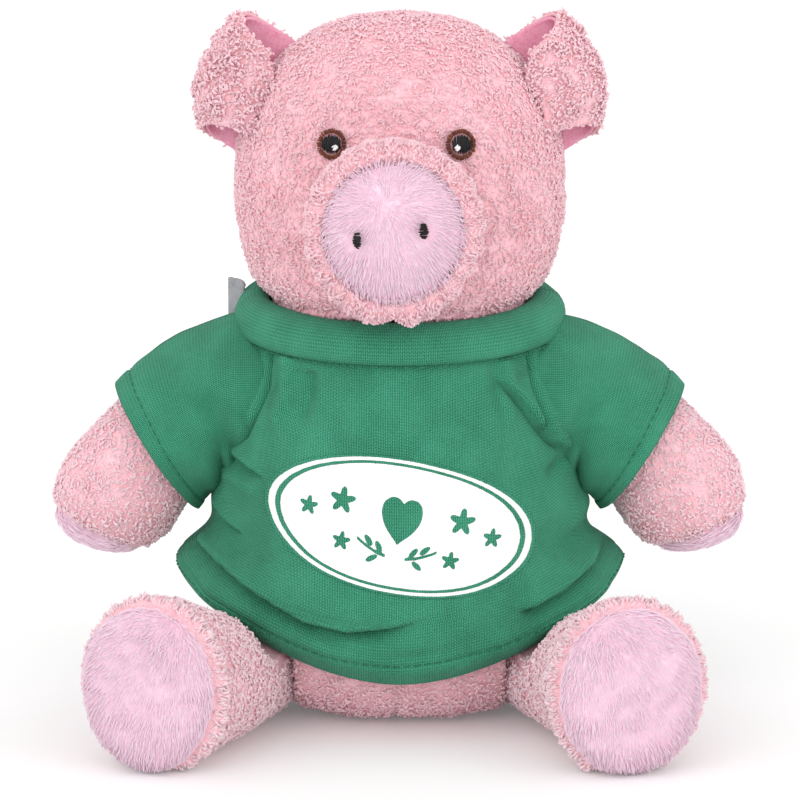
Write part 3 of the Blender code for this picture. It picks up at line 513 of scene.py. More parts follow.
def tubes(paths, radii, up, sides=3):
    """Points, faces and layout of closed thin tubes that end in points."""
    count, steps = paths.shape[:2]
    along = np.gradient(paths, axis=1)
    side = unit(np.cross(along, up[:, None]))
    over = unit(np.cross(side, along))
    turn = 2 * math.pi * np.arange(sides) / sides + math.pi / 2
    flat = THREE_SIDED_HEIGHT if sides == 3 else 1.0
    ways = side[:, 1:-1, None] * np.cos(turn)[:, None]
    ways = ways + over[:, 1:-1, None] * (flat * np.sin(turn))[:, None]
    rings = paths[:, 1:-1, None] + ways * radii[:, 1:-1, None, None]
    inner = rings.reshape(count, -1, 3)
    points = np.concatenate([paths[:, :1], inner, paths[:, -1:]], axis=1)
    size = points.shape[1]
    first, last = 0, size - 1
    k = np.arange(sides)
    after = (k + 1) % sides
    root = np.stack([np.full(sides, first), 1 + k, 1 + after], -1)
    tip_start = 1 + (steps - 3) * sides
    tip = np.stack([np.full(sides, last), tip_start + after, tip_start + k], -1)
    start = 1 + sides * np.arange(steps - 3)[:, None]
    quads = np.stack([start + k, start + sides + k, start + sides + after, start + after], -1).reshape(-1, 4)
    ends = np.concatenate([root, tip])
    offset = (np.arange(count) * size)[:, None, None]
    faces = [(ends + offset).reshape(-1, 3), (quads + offset).reshape(-1, 4)]
    heights = np.linspace(0, 1, steps)
    root_uv = [[(0.5, heights[0]), (j / sides, heights[1]), ((j + 1) / sides, heights[1])] for j in k]
    tip_uv = [[(0.5, heights[-1]), ((j + 1) / sides, heights[-2]), (j / sides, heights[-2])] for j in k]
    quad_uv = []
    for ring in range(steps - 3):
        low, high = heights[ring + 1], heights[ring + 2]
        for j in k:
            near, far = j / sides, (j + 1) / sides
            quad_uv.append([(near, low), (near, high), (far, high), (far, low)])
    layouts = (np.array(root_uv + tip_uv), np.array(quad_uv))
    return points.reshape(-1, 3), faces, layouts


def tube_mesh(name, paths, radii, up, tones, sides=3):
    """A mesh of thin tubes, with each one's shade and the way along it in its map."""
    points, faces, layouts = tubes(paths, radii, up, sides)
    corner_uv = []
    for layout in layouts:
        places = np.repeat(layout[None], len(paths), axis=0)
        places[..., 0] = tones[:, None, None] * (1 - TONE_WIDTH) + places[..., 0] * TONE_WIDTH
        places[..., 1] = places[..., 1] * (1 - 2 * MAP_MARGIN) + MAP_MARGIN
        corner_uv.append(places.reshape(-1, 2))
    mesh = new_mesh(name, points, faces, (UV_NAME, np.concatenate(corner_uv)))
    if sides == 3:
        mesh.shade_flat()
    return mesh


# Materials


def feed(tree, made, inputs):
    """Link or set a node's inputs, by name or number."""
    for name, value in inputs.items():
        socket = made.inputs[name]
        if isinstance(value, bpy.types.NodeSocket):
            tree.links.new(value, socket)
        elif socket.type == "RGBA":
            socket.default_value = (*value, 1)
        else:
            socket.default_value = value


def node(tree, kind, inputs=None, **settings):
    """A new node with its input values or links and its settings."""
    made = tree.nodes.new("ShaderNode" + kind)
    for name, value in settings.items():
        setattr(made, name, value)
    feed(tree, made, inputs or {})
    return made


def new_material(name, colour, roughness):
    """A Principled material with its node tree and shader."""
    material = bpy.data.materials.new(name)
    material.use_nodes = True
    shader = material.node_tree.nodes["Principled BSDF"]
    looks = {"Base Color": colour, "Roughness": roughness, "Specular IOR Level": 0.25}
    feed(material.node_tree, shader, looks)
    return material, material.node_tree, shader


def ramp(tree, factor, stops):
    """A colour ramp's colour."""
    made = node(tree, "ValToRGB", {"Fac": factor})
    elements = made.color_ramp.elements
    while len(elements) < len(stops):
        elements.new(0.5)
    for element, (place, colour) in zip(elements, stops):
        element.position = place
        element.color = (*colour, 1)
    return made.outputs["Color"]


def mixed(tree, factor, first, second, kind="MIX"):
    """Two colours mixed."""
    made = node(tree, "Mix", data_type="RGBA", blend_type=kind)
    feed(tree, made, {0: factor, 6: first, 7: second})
    return made.outputs[2]


def math_node(tree, operation, *values):
    """A calculation's result."""
    return node(tree, "Math", dict(enumerate(values)), operation=operation).outputs[0]


def grain(tree, place, scale, detail, roughness=0.5):
    """Noise at places."""
    inputs = {"Vector": place, "Scale": scale, "Detail": detail, "Roughness": roughness}
    return node(tree, "TexNoise", inputs).outputs[0]


def pile_material(name, root, middle, tip, warm):
    """Fibres whose colour deepens toward the root as painted shade of the crevices, and is pale at the tip.
    """
    material, tree, shader = new_material(name, tip, 0.85)
    place = node(tree, "UVMap", uv_map=UV_NAME).outputs["UV"]
    split = node(tree, "SeparateXYZ", {"Vector": place})
    tone, height = split.outputs["X"], split.outputs["Y"]
    # The ramp along each fibre darkens and saturates it toward the root: painted shade for the depth of the
    # pile.
    along = ramp(tree, height, ((0.0, root), (0.35, middle), (0.8, tip)))
    shade = ramp(tree, tone, ((0.0, warm), (0.45, (0.97, 0.95, 0.95)), (1.0, (1.0, 1.0, 1.0))))
    colour = mixed(tree, 1.0, along, shade, "MULTIPLY")
    looks = {"Base Color": colour, "Sheen Weight": 0.45, "Sheen Roughness": 0.4, "Sheen Tint": tip}
    feed(tree, shader, looks)
    return material


def cloth_material(name, colours, size, roughness, depth):
    """A short napped or woven cloth with mottled colour and a fine bump."""
    material, tree, shader = new_material(name, colours[1], roughness)
    calc = partial(math_node, tree)
    place = node(tree, "TexCoord").outputs["Object"]
    fine = grain(tree, place, 1 / size, 3.0, 0.6)
    broad = grain(tree, place, 0.12 / size, 2.0)
    both = calc("ADD", calc("MULTIPLY", fine, 0.65), calc("MULTIPLY", broad, 0.35))
    colour = ramp(tree, both, tuple(zip((0.35, 0.5, 0.65), colours)))
    lumps = node(tree, "Bump", {"Height": fine, "Distance": depth, "Strength": 0.8}).outputs[0]
    rough = calc("MULTIPLY_ADD", fine, 0.1, roughness - 0.05)
    feed(tree, shader, {"Base Color": colour, "Normal": lumps, "Roughness": rough})
    return material


# The knit: width of a rib, height of a row of stitches, depth of its relief, and its three greens; the
# darkest green paints shade into the grooves between stitches
WALE = 0.00096
COURSE = 0.00080
KNIT_DEPTH = 0.00042
KNIT_GREENS = ((0.003, 0.060, 0.031), (0.025, 0.238, 0.132), (0.088, 0.48, 0.30))


def knit_pattern(tree):
    """Height of the knit's stitches, from a map laid out in metres: rows of small Vs."""
    calc = partial(math_node, tree)
    split = node(tree, "SeparateXYZ", {"Vector": node(tree, "UVMap", uv_map="weave").outputs["UV"]})
    across = calc("FRACT", calc("DIVIDE", split.outputs["X"], WALE))
    centred = calc("ABSOLUTE", calc("SUBTRACT", across, 0.5))
    climb = calc("MULTIPLY_ADD", centred, 1.3, calc("DIVIDE", split.outputs["Y"], COURSE))
    stitch = calc("SINE", calc("MULTIPLY", climb, 2 * math.pi))
    leg = calc("SINE", calc("MULTIPLY", across, 2 * math.pi))
    legs = calc("POWER", calc("ABSOLUTE", leg), 0.6)
    return calc("MULTIPLY", legs, calc("MULTIPLY_ADD", stitch, 0.22, 0.70))


def knit_material(name, ink=None):
    """A knitted jersey; ink adds a printed layer where the mesh's ink value is above zero."""
    material, tree, shader = new_material(name, KNIT_GREENS[1], 0.85)
    calc = partial(math_node, tree)
    height = knit_pattern(tree)
    where = node(tree, "TexCoord").outputs["Object"]
    broad = grain(tree, where, 90.0, 3.0)
    fuzz = grain(tree, where, 2600.0, 2.0)
    # Colour follows the stitch height as well as the heather: the grooves between stitches are painted darker
    # as shade, while the broad and fine mottling is the yarn's own.
    level = calc("MULTIPLY_ADD", broad, 0.3, calc("MULTIPLY", height, 0.75))
    level = calc("MULTIPLY_ADD", fuzz, 0.3, level)
    colour = ramp(tree, level, tuple(zip((0.25, 0.6, 0.95), KNIT_GREENS)))
    bumps = calc("MULTIPLY_ADD", fuzz, 0.2, height)
    if ink is not None:
        cover = node(tree, "Attribute", attribute_name="ink").outputs["Fac"]
        worn = grain(tree, where, 700.0, 4.0)
        edge = calc("MULTIPLY_ADD", worn, 0.0002, calc("SUBTRACT", cover, 0.0001))
        share = node(tree, "Clamp", {"Value": calc("MULTIPLY", edge, 12000.0)}).outputs[0]
        colour = mixed(tree, share, colour, ink)
        bumps = calc("MULTIPLY", bumps, calc("MULTIPLY_ADD", share, -0.75, 1.0))
    lumps = node(tree, "Bump", {"Height": bumps, "Distance": KNIT_DEPTH, "Strength": 1.0}).outputs[0]
    rough = calc("MULTIPLY_ADD", fuzz, 0.1, 0.8)
    feed(tree, shader, {"Base Color": colour, "Roughness": rough, "Normal": lumps, "Sheen Weight": 0.06})
    return material


# Fibres: colours at the root, half way and at the tip, and the tint of the darkest ones; the deeper root
# colours are painted shade of the pile's crevices
PINK = pile_material(
    "pink_fibre", (0.87, 0.45, 0.50), (0.87, 0.56, 0.61), (0.87, 0.66, 0.715), (0.99, 0.90, 0.90))
# A paler copy of the same pink for the arms and legs: painted light, brightening limbs that the lamps leave
# in more shade.
PINK_WITH_PAINTED_LIGHT = pile_material(
    "pink_fibre_painted_light", (0.87, 0.51, 0.56), (0.87, 0.62, 0.67), (0.87, 0.72, 0.77), (0.99, 0.93, 0.93))
LILAC = pile_material(
    "lilac_fibre", (0.85, 0.58, 0.69), (0.85, 0.62, 0.73), (0.86, 0.70, 0.80), (0.99, 0.94, 0.96))

# Cloths and threads: dark, middle and light colour, size of the grain, roughness and depth of the bump
PINK_CLOTH = cloth_material(
    "pink_backing", ((0.88, 0.44, 0.49), (0.89, 0.52, 0.57), (0.90, 0.60, 0.65)), 0.0012, 0.95, 0.0004)
LILAC_CLOTH = cloth_material(
    "lilac_backing", ((0.84, 0.48, 0.60), (0.85, 0.57, 0.68), (0.86, 0.64, 0.75)), 0.0010, 0.95, 0.0003)
# The lining's own pink, deepened overall toward salmon: partly painted shade for its place inside the ear's
# fold.
LINING = cloth_material(
    "ear_lining", ((0.80, 0.29, 0.42), (0.86, 0.39, 0.53), (0.90, 0.48, 0.63)), 0.0006, 0.85, 0.0002)
JERSEY_GREEN = knit_material("green_knit")
PRINTED = knit_material("printed_knit", ink=(0.93, 0.95, 0.95))
THREAD_GREEN = cloth_material(
    "green_thread", ((0.010, 0.10, 0.05), (0.022, 0.17, 0.09), (0.05, 0.26, 0.15)), 0.0003, 0.6, 0.0001)
TAPE = cloth_material(
    "tape", ((0.25, 0.25, 0.27), (0.34, 0.34, 0.36), (0.42, 0.42, 0.44)), 0.0004, 0.7, 0.0001)
BROWN = cloth_material(
    "brown_thread", ((0.05, 0.013, 0.006), (0.14, 0.038, 0.018), (0.24, 0.08, 0.04)), 0.0005, 0.45, 0.00005)
BLACK = cloth_material(
    "black_thread", ((0.004, 0.004, 0.005), (0.009, 0.008, 0.009), (0.02, 0.018, 0.02)), 0.0005, 0.4, 0.00005)
WHITE = cloth_material(
    "white_thread", ((0.75, 0.75, 0.75), (0.86, 0.86, 0.86), (0.95, 0.95, 0.95)), 0.0005, 0.45, 0.00005)


def finish_piece(item, material, body, replaces=()):
    """Dress a piece and hand it to the body that carries it."""
    if not item.data.materials:
        item.data.materials.append(material)
    if body is not None:
        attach(item, body)
    if replaces:
        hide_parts(*replaces)
    return item


# Pile


def spread_roots(mesh, density, keep, seed):
    """Roots, normals and a random source for fibres spread over the parts of a mesh that keep allows."""
    points, normals, triangles = mesh_arrays(mesh)
    local = np.random.default_rng(seed)
    corners = points[triangles]
    cross = np.cross(corners[:, 1] - corners[:, 0], corners[:, 2] - corners[:, 0])
    area = np.linalg.norm(cross, axis=1) / 2
    area = area * keep(corners.mean(axis=1))
    sums = np.cumsum(area)
    count = int(sums[-1] / MM ** 2 * density)
    place = (np.arange(count) + local.random(count)) / count * sums[-1]
    face = np.minimum(np.searchsorted(sums, place), len(triangles) - 1)
    first = np.sqrt(local.random(count))[:, None]
    second = local.random(count)[:, None]
    weights = (1 - first, first * (1 - second), first * second)
    root = sum(weight * points[triangles[face, n]] for n, weight in enumerate(weights))
    normal = unit(sum(weight * normals[triangles[face, n]] for n, weight in enumerate(weights)))
    return root, normal, local


def grow(name, mesh, keep, style, seed, material, body, lay=(0, 0, 0), tone=0.0, side=1):
    """Fibres over a mesh, as one or more pieces that ride on a body.

    Side is -1 on the right, where keep and lay still speak of places on the left.
    """
    there = np.array([side, 1, 1])
    root, normal, local = spread_roots(mesh, style["density"], lambda places: keep(places * there), seed)
    count = len(root)
    steps = style["steps"]
    wanted = (lay(root * there) if callable(lay) else np.array(lay)) * there
    loose = local.normal(size=(count, 3))
    forward = wanted + loose * style["stray"]
    forward = unit(forward - normal * np.sum(forward * normal, axis=1, keepdims=True))
    across = np.cross(normal, forward)
    size = 1 + style["vary"] * local.uniform(-1, 1, count)
    coarse, fine = (noise(root, patch, seed + 2 * n) for n, patch in enumerate(TUFT_SIZES))
    tuft = style["tufts"] * (0.5 * coarse + fine)
    clump = 1 + 0.6 * tuft
    way = np.linspace(0, 1, steps)
    turns = style["turns"] * local.uniform(0.7, 1.3, count) * np.where(local.random(count) < 0.5, -1, 1)
    phase = local.uniform(0, 2 * math.pi, count)[:, None] + 2 * math.pi * turns[:, None] * way
    curl = style["curl"] * size[:, None] * np.minimum(1, 2.5 * way)
    ahead = style["length"] * size[:, None] * way + curl * np.cos(phase)
    aside = curl * np.sin(phase)
    climb = style["rise"] * (size * clump)[:, None] * (1 - (1 - way) ** 2 - style["droop"] * way ** 3)
    climb = climb + (0.4 * style["rise"] * tuft * way.clip(0.3, 1).reshape(-1, 1)).T - style["sunk"]
    paths = root[:, None] + forward[:, None] * ahead[..., None] + across[:, None] * aside[..., None]
    paths = paths + normal[:, None] * climb[..., None]
    paths[..., 2] = np.maximum(paths[..., 2], style["thick"] * 0.6)
    radii = style["thick"] * size[:, None] * np.interp(way, (0, 0.15, 0.6, 1), (0.8, 0.9, 1.0, 0.55))
    shade = local.random(count) * 0.7 + 0.3 * (0.5 + 0.5 * noise(root, SHADE_PATCH, seed + 1))
    shade = np.clip(shade + tone, 0, 1)
    per_fibre = 2 * 3 * (steps - 3) + 6
    pieces = max(1, math.ceil(count * per_fibre / PIECE_TRIANGLES))
    order = np.argsort(root[:, 0] if pieces > 1 else np.arange(count), kind="stable")
    for number, part in enumerate(np.array_split(order, pieces)):
        piece_name = name if pieces == 1 else f"{name}_{number + 1}"
        part_mesh = tube_mesh(piece_name, paths[part], radii[part], normal[part], shade[part])
        finish_piece(new_object(piece_name, part_mesh), material, body)


def everywhere(places):
    """Keep the whole of a mesh."""
    return np.ones(len(places))


# Kinds of pile: fibres in a square millimetre, and how each is sized, curled, laid and sunk
TERRY = dict(density=1.43, length=0.0009, curl=0.00045, turns=0.6, rise=0.0012, droop=0.35, sunk=0.0004,
             thick=0.00032, steps=4, stray=1.0, vary=0.3, tufts=0.45)
EAR_TERRY = dict(TERRY, density=1.7, rise=0.0016, thick=0.00036, length=0.0010, steps=5, tufts=1.0)
BRUSHED = dict(TERRY, density=1.7, length=0.0017, curl=0.00030, turns=0.5, stray=0.7, rise=0.0013)
COMBED = dict(TERRY, density=2.0, length=0.0019, curl=0.00018, turns=0.4, stray=0.2, rise=0.0010, tufts=0.3)
LONG = dict(density=2.45, length=0.0034, curl=0.00010, turns=0.4, rise=0.0005, droop=0.5, sunk=0.0002,
            thick=0.00015, steps=5, stray=0.10, vary=0.35, tufts=0.08)


def ruffle(mesh, depth, size, seed):
    """Points and normals of a stuffed skin, and soft lumps in it."""
    points, normals, _ = mesh_arrays(mesh)
    lumps = noise(points, size, seed) * 0.6 + noise(points, size / 3, seed + 1) * 0.25
    return points, normals, lumps * depth


# Head and muzzle

# The dart under the chin: where it is and how it leans
DART_X = -0.0018
DART_Z = 0.121
DART_LEAN = 0.12
DART_TOP_Z = 0.1255
DART_BARE = 0.0009
# How much further out the jaw is than its form, from the neck up
JAW_HEIGHTS = (0.1150, 0.1170, 0.1190, 0.1220, 0.1270, 0.1320, 0.1400)
JAW_FRONT_SHARES = (0.90, 0.64, 0.36, 0.23, 0.10, 0.03, 0.0)
JAW_SIDE_SHARES = (0.58, 0.42, 0.17, 0.090, 0.055, 0.02, 0.0)
# The muzzle's brushed ring: distances from the muzzle's middle, and how far back it goes
RING_MIDDLE = 0.0215
RING_WIDTH = 0.0030
RING_END = 0.030
RING_BACK_Y = -0.0425
# Where terry stops at the snout's disc and the eyes, and other heights on the head
BARE_DISC_RADIUS = 0.0172
BARE_EYE_RADIUS = 0.0037
CHEEK_CREASE_Z = 0.170
COLLAR_Z = 0.1180


def muzzle_angle(points):
    """Places' angle round the muzzle's middle."""
    return np.arctan2(points[:, 2] - MUZZLE_CENTRE_Z, points[:, 0] - MUZZLE_CENTRE_X)


def muzzle_reach(points):
    """How far places are from the muzzle's middle."""
    return np.hypot(points[:, 2] - MUZZLE_CENTRE_Z, points[:, 0] - MUZZLE_CENTRE_X)


def from_dart(points):
    """How far places are from the dart under the chin, sideways."""
    return points[:, 0] - DART_X + DART_LEAN * (points[:, 2] - DART_Z)


def head_lumps(points):
    """How far the skin stands out or in: the gathered ring, its two seams, the cheeks and the dart."""
    x, y, z = points.T
    angle, reach = muzzle_angle(points), muzzle_reach(points)
    front = smooth_step((-y - 0.040) / 0.004)
    gathers = np.cos(24 * angle + 2.0 * noise(points, 0.009, 5)) * (0.8 + 0.5 * noise(points, 0.012, 8))
    near_disc = bump(reach - RING_MIDDLE, RING_WIDTH) * smooth_step((-y - 0.046) / 0.010)
    lumps = front * near_disc * (0.0015 + 0.0006 * gathers)
    lumps -= 0.0016 * front * bump(reach - SNOUT_DISC_RADIUS, 0.0014)
    root = (y < -0.02) * smooth_step((0.034 - reach) / 0.004)
    lumps -= 0.0014 * root * bump(y + HEAD_HALF_DEPTH, 0.0024)
    lumps -= 0.0008 * bump(z - CHEEK_CREASE_Z, 0.010) * smooth_step((np.abs(x) - 0.030) / 0.012)
    low = smooth_step((0.1285 - z) / 0.006)
    return lumps - 0.0020 * bump(from_dart(points), 0.0020) * low * (y < 0)


def fuller_jaw(points):
    """How much further out the jaw is than its form, as a share."""
    x, y, z = points.T
    frontal = np.maximum(-np.sin(np.arctan2(y / HEAD_HALF_DEPTH, x / HEAD_HALF_WIDTH)), 0) ** 2
    at_front, at_side = (np.interp(z, JAW_HEIGHTS, row) for row in (JAW_FRONT_SHARES, JAW_SIDE_SHARES))
    fuller = (at_side + (at_front - at_side) * frontal) * smooth_step((y + 0.047) / 0.007)
    return fuller * (1 - 0.25 * bump(from_dart(points), 0.0030) * (y < 0))


def build_head():
    """Head and muzzle, one padded skin with terry and brushed pile."""
    head_points, head_quads = form_mesh(head_form, 56, -PILE_DEPTH)
    head_points[:, 2] = np.maximum(head_points[:, 2], NECK_PLANE_Z + SEAM_GAP)
    muzzle_points, muzzle_quads = form_mesh(muzzle_form, 36, -PILE_DEPTH)
    muzzle_points[:, 1] = np.maximum(muzzle_points[:, 1], SNOUT_DISC_Y + 0.0004)
    mesh = remeshed("head_base", [(head_points, head_quads), (muzzle_points, muzzle_quads)], HEAD_VOXEL, 4)
    points, normals, lumps = ruffle(mesh, 0.0006, 0.012, 11)
    moved = points + normals * (lumps + head_lumps(points))[:, None]
    front = smooth_step((-points[:, 1] - 0.040) / 0.006)
    moved[:, 2] -= 0.0021 * front * smooth_step((0.1330 - points[:, 2]) / 0.010)
    set_points(mesh, moved + points * np.array([1, 1, 0]) * fuller_jaw(points)[:, None])
    base = new_object("head_base", mesh)
    finish_piece(base, PINK_CLOTH, "head",
                 ("face_skin", "head_back_skin", "head_stuffing", "muzzle_skin", "muzzle_stuffing"))

    def shown(places):
        x, y, z = places.T
        keep = z - 0.4 * BAND_RISE * y > COLLAR_Z
        keep &= ~((y < SNOUT_DISC_Y + 0.0012) & (muzzle_reach(places) < BARE_DISC_RADIUS))
        for side in SIDES.values():
            from_eye = np.hypot(x - EYE_MIDDLE_X - side * EYE_X, z - EYE_Z)
            keep &= (from_eye > BARE_EYE_RADIUS) | (y > -0.02)
        in_dart = np.abs(from_dart(places)) < DART_BARE
        keep &= ~(in_dart & (z < DART_TOP_Z) & (y < 0))
        return keep * np.where(y > 0.012, 0.8, 1.0)

    def ring(places):
        return (places[:, 1] < RING_BACK_Y) & (muzzle_reach(places) < RING_END)

    def on_face(places):
        return shown(places) * ~ring(places)

    def on_ring(places):
        return shown(places) * ring(places)

    def outward_from_disc(places):
        angle = muzzle_angle(places)
        return np.stack([np.cos(angle), np.full_like(angle, 0.9), np.sin(angle)], -1)

    def combed(places):
        x, _, z = places.T
        aside = np.sign(x) * smooth_step((np.abs(x) - 0.022) / 0.012)
        low = smooth_step((0.165 - z) / 0.02)
        return np.stack([0.81 * aside * low, 0 * low, -0.63 * low], -1)

    grow("head_pile", mesh, on_face, TERRY, 21, PINK, "head", lay=combed)
    grow("muzzle_pile", mesh, on_ring, BRUSHED, 22, PINK, "head",
         lay=outward_from_disc, tone=0.12)


NOSTRIL_HALF_WIDTH = 0.0014
NOSTRIL_HALF_HEIGHT = 0.0022
NOSTRIL_BARE_HEIGHT = 0.0021


def nostril_place(side):
    """Where a nostril is, seen from the front."""
    x, z = spun(side * NOSTRIL_X, 0, NOSTRIL_ROLL)
    return NOSTRIL_MIDDLE_X + x, NOSTRIL_MIDDLE_Z + z


def from_nostril(side, points):
    """How far places are from a nostril, across and up."""
    x, z = nostril_place(side)
    return points[:, 0] - x, points[:, 2] - z


def build_snout():
    """The lilac disc at the end of the muzzle."""
    rows, columns = 40, 96
    share = np.linspace(0, 1, rows)[:, None]
    angle = np.linspace(0, 2 * math.pi, columns, endpoint=False)[None]
    radius = SNOUT_DISC_RADIUS * share ** 0.9
    x = MUZZLE_CENTRE_X + radius * np.cos(angle)
    z = MUZZLE_CENTRE_Z + radius * np.sin(angle)
    front = muzzle_front(x.ravel(), z.ravel(), -PILE_DEPTH)
    front[:, 1] = np.minimum(front[:, 1], SNOUT_DISC_Y - 0.0004)
    for side in (-1, 1):
        front[:, 1] += 0.0009 * bump(np.hypot(*from_nostril(side, front)), 0.0035)
    back = front.copy()
    back[:, 1] = SNOUT_DISC_Y - SEAM_GAP / 2
    ahead = grid_faces(rows, columns, wrap=True)
    behind = ahead[:, ::-1] + rows * columns
    rim = (rows - 1) * columns + np.arange(columns)
    rim_after = np.roll(rim, -1)
    edge = np.stack([rim, rim_after, rim_after + rows * columns, rim + rows * columns], -1)
    mesh = new_mesh("snout_base", np.concatenate([front, back]), [ahead, behind, edge])
    clean_mesh(mesh)
    base = new_object("snout_base", mesh)
    finish_piece(base, LILAC_CLOTH, "head", ("snout_disc",))

    def shown(places):
        keep = places[:, 1] < SNOUT_DISC_Y - 0.0003
        for side in (-1, 1):
            across, up = from_nostril(side, places)
            keep &= np.hypot(across / NOSTRIL_HALF_WIDTH, up / NOSTRIL_BARE_HEIGHT) > 1
        return keep

    def parted(places):
        angle = muzzle_angle(places)
        near = muzzle_reach(places) / SNOUT_DISC_RADIUS
        return np.stack([np.cos(angle) * near + 0.15, 0 * near, np.sin(angle) * near - 0.45], -1)

    grow("snout_pile", mesh, shown, LONG, 23, LILAC, "head", lay=parted)


# Embroidery

THREAD_RADIUS = 0.00024
IRIS_THREADS = 54
IRIS_INNER = 0.0030
IRIS_OUTER = 0.0044
PUPIL_RADIUS = 0.0029
GLINT_HALF_WIDTH = 0.0010
GLINT_HALF_HEIGHT = 0.0009
GLINT_ASIDE = 0.0013
GLINT_DOWN = 0.0010
# How far threads lie off the pile's backing at their ends, and how much more in their middle
IRIS_LIFT = (0.00005, 0.00035)
PUPIL_LIFT = (0.0002, 0.0005)
GLINT_LIFT = (0.0008, 0.0002)
NOSTRIL_LIFT = (0.00002, 0.0004)


def surface_frame(surface, x, z):
    """A point of a front surface, with the ways across, up and out of it."""
    step = 0.0002
    spots = surface(np.array([x, x + step, x]), np.array([z, z, z + step]))
    across = unit(spots[1] - spots[0])
    out = unit(np.cross(across, spots[2] - spots[0]))
    return spots[0], across, np.cross(out, across), out

def thread_mesh(name, paths, up, way, radius, blunt):
    """Threads along paths, thinner at both ends."""
    thickness = radius * np.interp(way, (0, blunt, 1 - blunt, 1), (0.6, 1, 1, 0.6))
    radii = np.repeat(thickness[None], len(paths), axis=0)
    return tube_mesh(name, paths, radii, up, rng.random(len(paths)), sides=6)


def stitches(name, patch, starts, ends, lift, material, slot, replaces):
    """Satin stitches between places on a patch, each a thread that rises in its middle."""
    origin, across, upward, out = patch
    way = np.linspace(0, 1, 7)[None, :, None]
    flat = starts[:, None] * (1 - way) + ends[:, None] * way
    height = lift[0] + lift[1] * np.sin(math.pi * way[..., 0])
    paths = origin + flat[..., :1] * across + flat[..., 1:] * upward + height[..., None] * out
    up = np.repeat(out[None], len(paths), axis=0)
    mesh = thread_mesh(name, paths, up, way[0, :, 0], THREAD_RADIUS, 0.12)
    return finish_piece(new_object(name, mesh), material, "head", replaces)


def chords(half_width, half_height, count, centre=(0.0, 0.0), turn=0.0, ragged=0.00012):
    """Starts and ends of parallel stitches that fill an oval."""
    level = np.linspace(-1, 1, count + 2)[1:-1]
    half = half_width * np.sqrt(1 - level ** 2)
    spin = np.array([[math.cos(turn), math.sin(turn)], [-math.sin(turn), math.cos(turn)]])
    ends = []
    for way in (-1, 1):
        end = np.stack([way * half, level * half_height], -1) + rng.normal(0, ragged, (count, 2))
        ends.append(end @ spin + centre)
    return ends


def build_eyes():
    """Both eyes: a ring of brown stitches, a black pupil and a white glint."""
    for name, side in SIDES.items():
        place = surface_frame(head_front, EYE_MIDDLE_X + side * EYE_X, EYE_Z)
        turn = np.linspace(0, 2 * math.pi, IRIS_THREADS, endpoint=False) + rng.normal(0, 0.02, IRIS_THREADS)
        ways = np.stack([np.cos(turn), np.sin(turn)], -1)
        inner = ways * (IRIS_INNER + rng.normal(0, 0.00007, (IRIS_THREADS, 1)))
        outer = ways * (IRIS_OUTER + rng.normal(0, 0.00010, (IRIS_THREADS, 1)))
        stitches(f"eye_iris_threads_{name}", place, inner, outer, IRIS_LIFT, BROWN,
                 "brown_thread", (f"eye_iris_{name}",))
        pupil = chords(PUPIL_RADIUS, PUPIL_RADIUS, 16, turn=math.radians(90))
        stitches(f"eye_pupil_threads_{name}", place, *pupil, PUPIL_LIFT, BLACK,
                 "black_thread", (f"eye_pupil_{name}",))
        glint = chords(GLINT_HALF_WIDTH, GLINT_HALF_HEIGHT, 4, centre=(-side * GLINT_ASIDE, -GLINT_DOWN),
                       turn=math.radians(35))
        stitches(f"eye_glint_threads_{name}", place, *glint, GLINT_LIFT, WHITE,
                 "white_thread", (f"eye_glint_{name}",))


def build_nostrils():
    """Both nostrils, upright ovals of black stitches."""
    for name, side in SIDES.items():
        place = surface_frame(muzzle_front, *nostril_place(side))
        threads = chords(NOSTRIL_HALF_WIDTH, NOSTRIL_HALF_HEIGHT, 13)
        stitches(f"nostril_threads_{name}", place, *threads, NOSTRIL_LIFT, BLACK,
                 "black_thread", (f"nostril_{name}",))


# Ears

EAR_TOP = math.radians(50)
EAR_BOTTOM = math.radians(2.5)
EAR_OFF_HEAD = 0.0006
EAR_BACK = 0.002
EAR_SUNK = 0.0018
EAR_REACH_TOP = 0.0178
EAR_REACH_BOTTOM = 0.0138
EAR_CLOTH = 0.0009
# The free edge: how far inward and forward of the root it comes
FREE_EDGE_IN = 0.0036
FREE_EDGE_AHEAD = 0.0160
# How far the free edge's upper end is turned out, back and down, and how far its lower end rises
TOP_CORNER = (0.0080, 0.0030, 0.0048)
LOWER_CORNER_RISE = 0.0080


def ear_base(share):
    """The left ear's root line on the head, from its top down."""
    angle = EAR_TOP + (EAR_BOTTOM - EAR_TOP) * share
    point = head_form(math.pi / 2 - angle, np.zeros_like(angle), EAR_OFF_HEAD)
    return point + np.array([0, EAR_BACK, 0])


